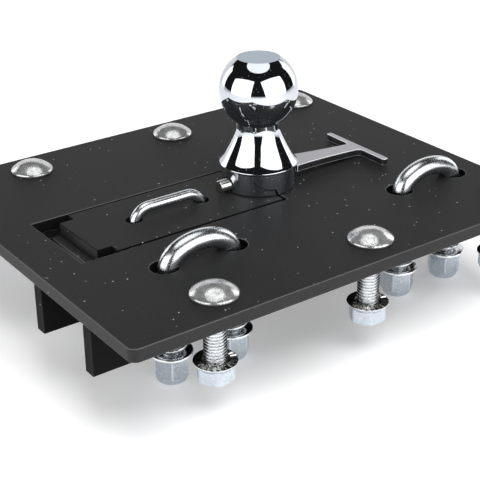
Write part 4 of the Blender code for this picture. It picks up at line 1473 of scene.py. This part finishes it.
def card(name, corners, strength):
    """A white sheet that only polished metal shows, its corners given as directions from the ball."""
    bm = bmesh.new()
    verts = [bm.verts.new(bearing(*corner)) for corner in corners]
    bmesh.ops.contextual_create(bm, geom=verts)
    stage_piece(name, bm, glow_finish(name, strength), mirrored_only=True)


def floor_finish():
    """A pale floor, seen as white where no shadow falls on it and far off, where no lamp reaches."""
    lit_white = 1.155
    fade_start, fade_rate = 0.5, 0.8
    made = Finish("studio_floor")
    made.set("Base Color", (*colours().floor, 1.0)).set("Roughness", 0.9).set("Specular IOR Level", 0.0)
    camera, seen = made.sight()
    glow = lit_white - colours().floor[0]
    away = made.node("ShaderNodeVectorMath", {"operation": "LENGTH"}, {0: made.place}, output="Value")
    far = ((away - fade_start) * fade_rate).clamped() * (1.0 - glow)
    made.set("Emission Color", made.mix(seen * glow + camera * far, BLACK, WHITE))
    made.set("Emission Strength", 1.0)
    return made.material


class HITCH_OT_stage(bpy.types.Operator):
    """Make the floor, the studio panels, the background and the camera"""

    bl_idname = "hitch.stage"
    bl_label = "Studio"

    def execute(self, context):
        self.floor()
        self.walls()
        self.cards()
        self.world(context.scene)
        self.lamps()
        self.camera(context.scene)
        context.scene.view_settings.view_transform = "Standard"
        return {"FINISHED"}

    def floor(self):
        gap = 0.0002
        bm = bmesh.new()
        bmesh.ops.create_circle(bm, cap_ends=True, segments=96, radius=6.0)
        bmesh.ops.translate(bm, verts=bm.verts, vec=(0, 0, CAD_BOX[0][2] - gap))
        stage_piece("studio_floor", bm, floor_finish())

    def walls(self):
        """Dark cloth round the studio, which only polished metal shows."""
        bm = lathe([(3.0, 0.0), (3.0, 2.4), (2.2, 3.2), (0.0, 3.4)], 48)
        stage_piece("studio_walls", bm, glow_finish("studio_cloth", 0.012), mirrored_only=True)

    def cards(self):
        """What the ball and the bolts mirror: two boxes, two strips, a sheet and a disc overhead."""
        foot = -8
        box_glow, strip_glow, sheet_glow, disc_glow = 2.1, 1.9, 0.9, 1.45
        card("left_box", [(150, foot), (150, 28), (-141, 39), (-149, foot)], box_glow)
        card("right_box", [(-105, foot), (-119, 38), (-42, 34), (-42, foot)], box_glow)
        card("left_strip_card", [(99, foot), (99, 27), (118, 27), (118, foot)], strip_glow)
        card("right_strip_card", [(-6, foot), (-5, 31), (18, 31), (18, foot)], strip_glow)
        card("back_sheet", [(18, foot), (18, 20), (54, 33), (99, 20), (99, foot)], sheet_glow)
        disc_radius, disc_height = 0.66, 1.5
        bm = bmesh.new()
        bmesh.ops.create_circle(bm, cap_ends=True, segments=64, radius=disc_radius)
        bmesh.ops.translate(bm, verts=bm.verts, vec=spot("hitch_ball", disc_height))
        stage_piece("overhead_card", bm, glow_finish("overhead_card", disc_glow), mirrored_only=True)

    def world(self, scene):
        """A grey surround that the picture and polished metal show as white."""
        scene.world = bpy.data.worlds.new("studio")
        scene.world.use_nodes = True
        shading = Shading(scene.world.node_tree)
        seen = shading.sight()[1]
        shade = shading.mix(seen, (*colours().surround, 1.0), WHITE)
        shading.feed(shading.tree.nodes["Background"].inputs["Color"], shade)

    def lamps(self):
        """One lamp above, and four that stand: azimuth, spread, height and watts."""
        panel("overhead", (-0.1, -0.6, 1.3), aim=(0, 0, 0), wide=1.0, tall=1.0, power=20.7)
        standing_panel("left_panel", 178, 68, 1.05, 8.5)
        standing_panel("right_panel", -77, 74, 1.05, 7.5)
        standing_panel("left_strip", 106, 16, 0.8, 2.2)
        standing_panel("right_strip", 6, 16, 0.8, 2.2)

    def camera(self, scene):
        azimuth, pitch, roll = (math.radians(angle) for angle in CAMERA_ANGLES)
        level = Vector((math.sin(azimuth), math.cos(azimuth), 0.0))
        forward = level * math.cos(pitch) - Vector((0.0, 0.0, math.sin(pitch)))
        right = Vector((math.cos(azimuth), -math.sin(azimuth), 0.0))
        up = right.cross(forward)
        tilted_right = right * math.cos(roll) + up * math.sin(roll)
        tilted_up = up * math.cos(roll) - right * math.sin(roll)
        lens = bpy.data.cameras.new("camera")
        lens.sensor_width = SENSOR
        lens.lens = SENSOR * FOCAL / PICTURE
        lens.shift_x = (PICTURE / 2 - LENS_CENTRE[0]) / PICTURE
        lens.shift_y = (LENS_CENTRE[1] - PICTURE / 2) / PICTURE
        lens.clip_start = 0.01
        camera = bpy.data.objects.new("camera", lens)
        turn = Matrix((tilted_right, tilted_up, -forward)).transposed().to_4x4()
        camera.matrix_world = Matrix.Translation(CAMERA_PLACE) @ turn
        scene.collection.objects.link(camera)
        scene.camera = camera


class HITCH_PT_panel(bpy.types.Panel):
    """Lists the steps that build the hitch head"""

    bl_idname = "HITCH_PT_panel"
    bl_label = "Hitch head"
    bl_space_type = "VIEW_3D"
    bl_region_type = "UI"
    bl_category = "Hitch"

    def draw(self, context):
        for operator in OPERATORS:
            self.layout.operator(operator.bl_idname)
        for group in (context.scene.hitch_sizes, context.scene.hitch_colours):
            box = self.layout.box()
            for name in group.__annotations__:
                box.prop(group, name)


OPERATORS = (
    HITCH_OT_stage,
    HITCH_OT_deck,
    HITCH_OT_rails,
    HITCH_OT_arm,
    HITCH_OT_hinge,
    HITCH_OT_bed_bolts,
    HITCH_OT_bed_nuts,
    HITCH_OT_ball,
    HITCH_OT_lock_pin,
    HITCH_OT_grab_handle,
    HITCH_OT_u_bolts,
    HITCH_OT_u_bolt_nuts,
    HITCH_OT_springs,
)
CLASSES = (HitchSizes, HitchColours) + OPERATORS + (HITCH_PT_panel,)


def register():
    for each in CLASSES:
        bpy.utils.register_class(each)
    bpy.types.Scene.hitch_sizes = PointerProperty(type=HitchSizes)
    bpy.types.Scene.hitch_colours = PointerProperty(type=HitchColours)


def unregister():
    del bpy.types.Scene.hitch_colours
    del bpy.types.Scene.hitch_sizes
    for each in reversed(CLASSES):
        bpy.utils.unregister_class(each)


def main():
    register()
    bpy.ops.hitch.stage()
    bpy.ops.hitch.deck()
    bpy.ops.hitch.rails()
    bpy.ops.hitch.arm()
    bpy.ops.hitch.hinge()
    bpy.ops.hitch.bed_bolts()
    bpy.ops.hitch.bed_nuts()
    bpy.ops.hitch.ball()
    bpy.ops.hitch.lock_pin()
    bpy.ops.hitch.grab_handle()
    bpy.ops.hitch.u_bolts()
    bpy.ops.hitch.u_bolt_nuts()
    bpy.ops.hitch.springs()


if __name__ == "__main__":
    main()
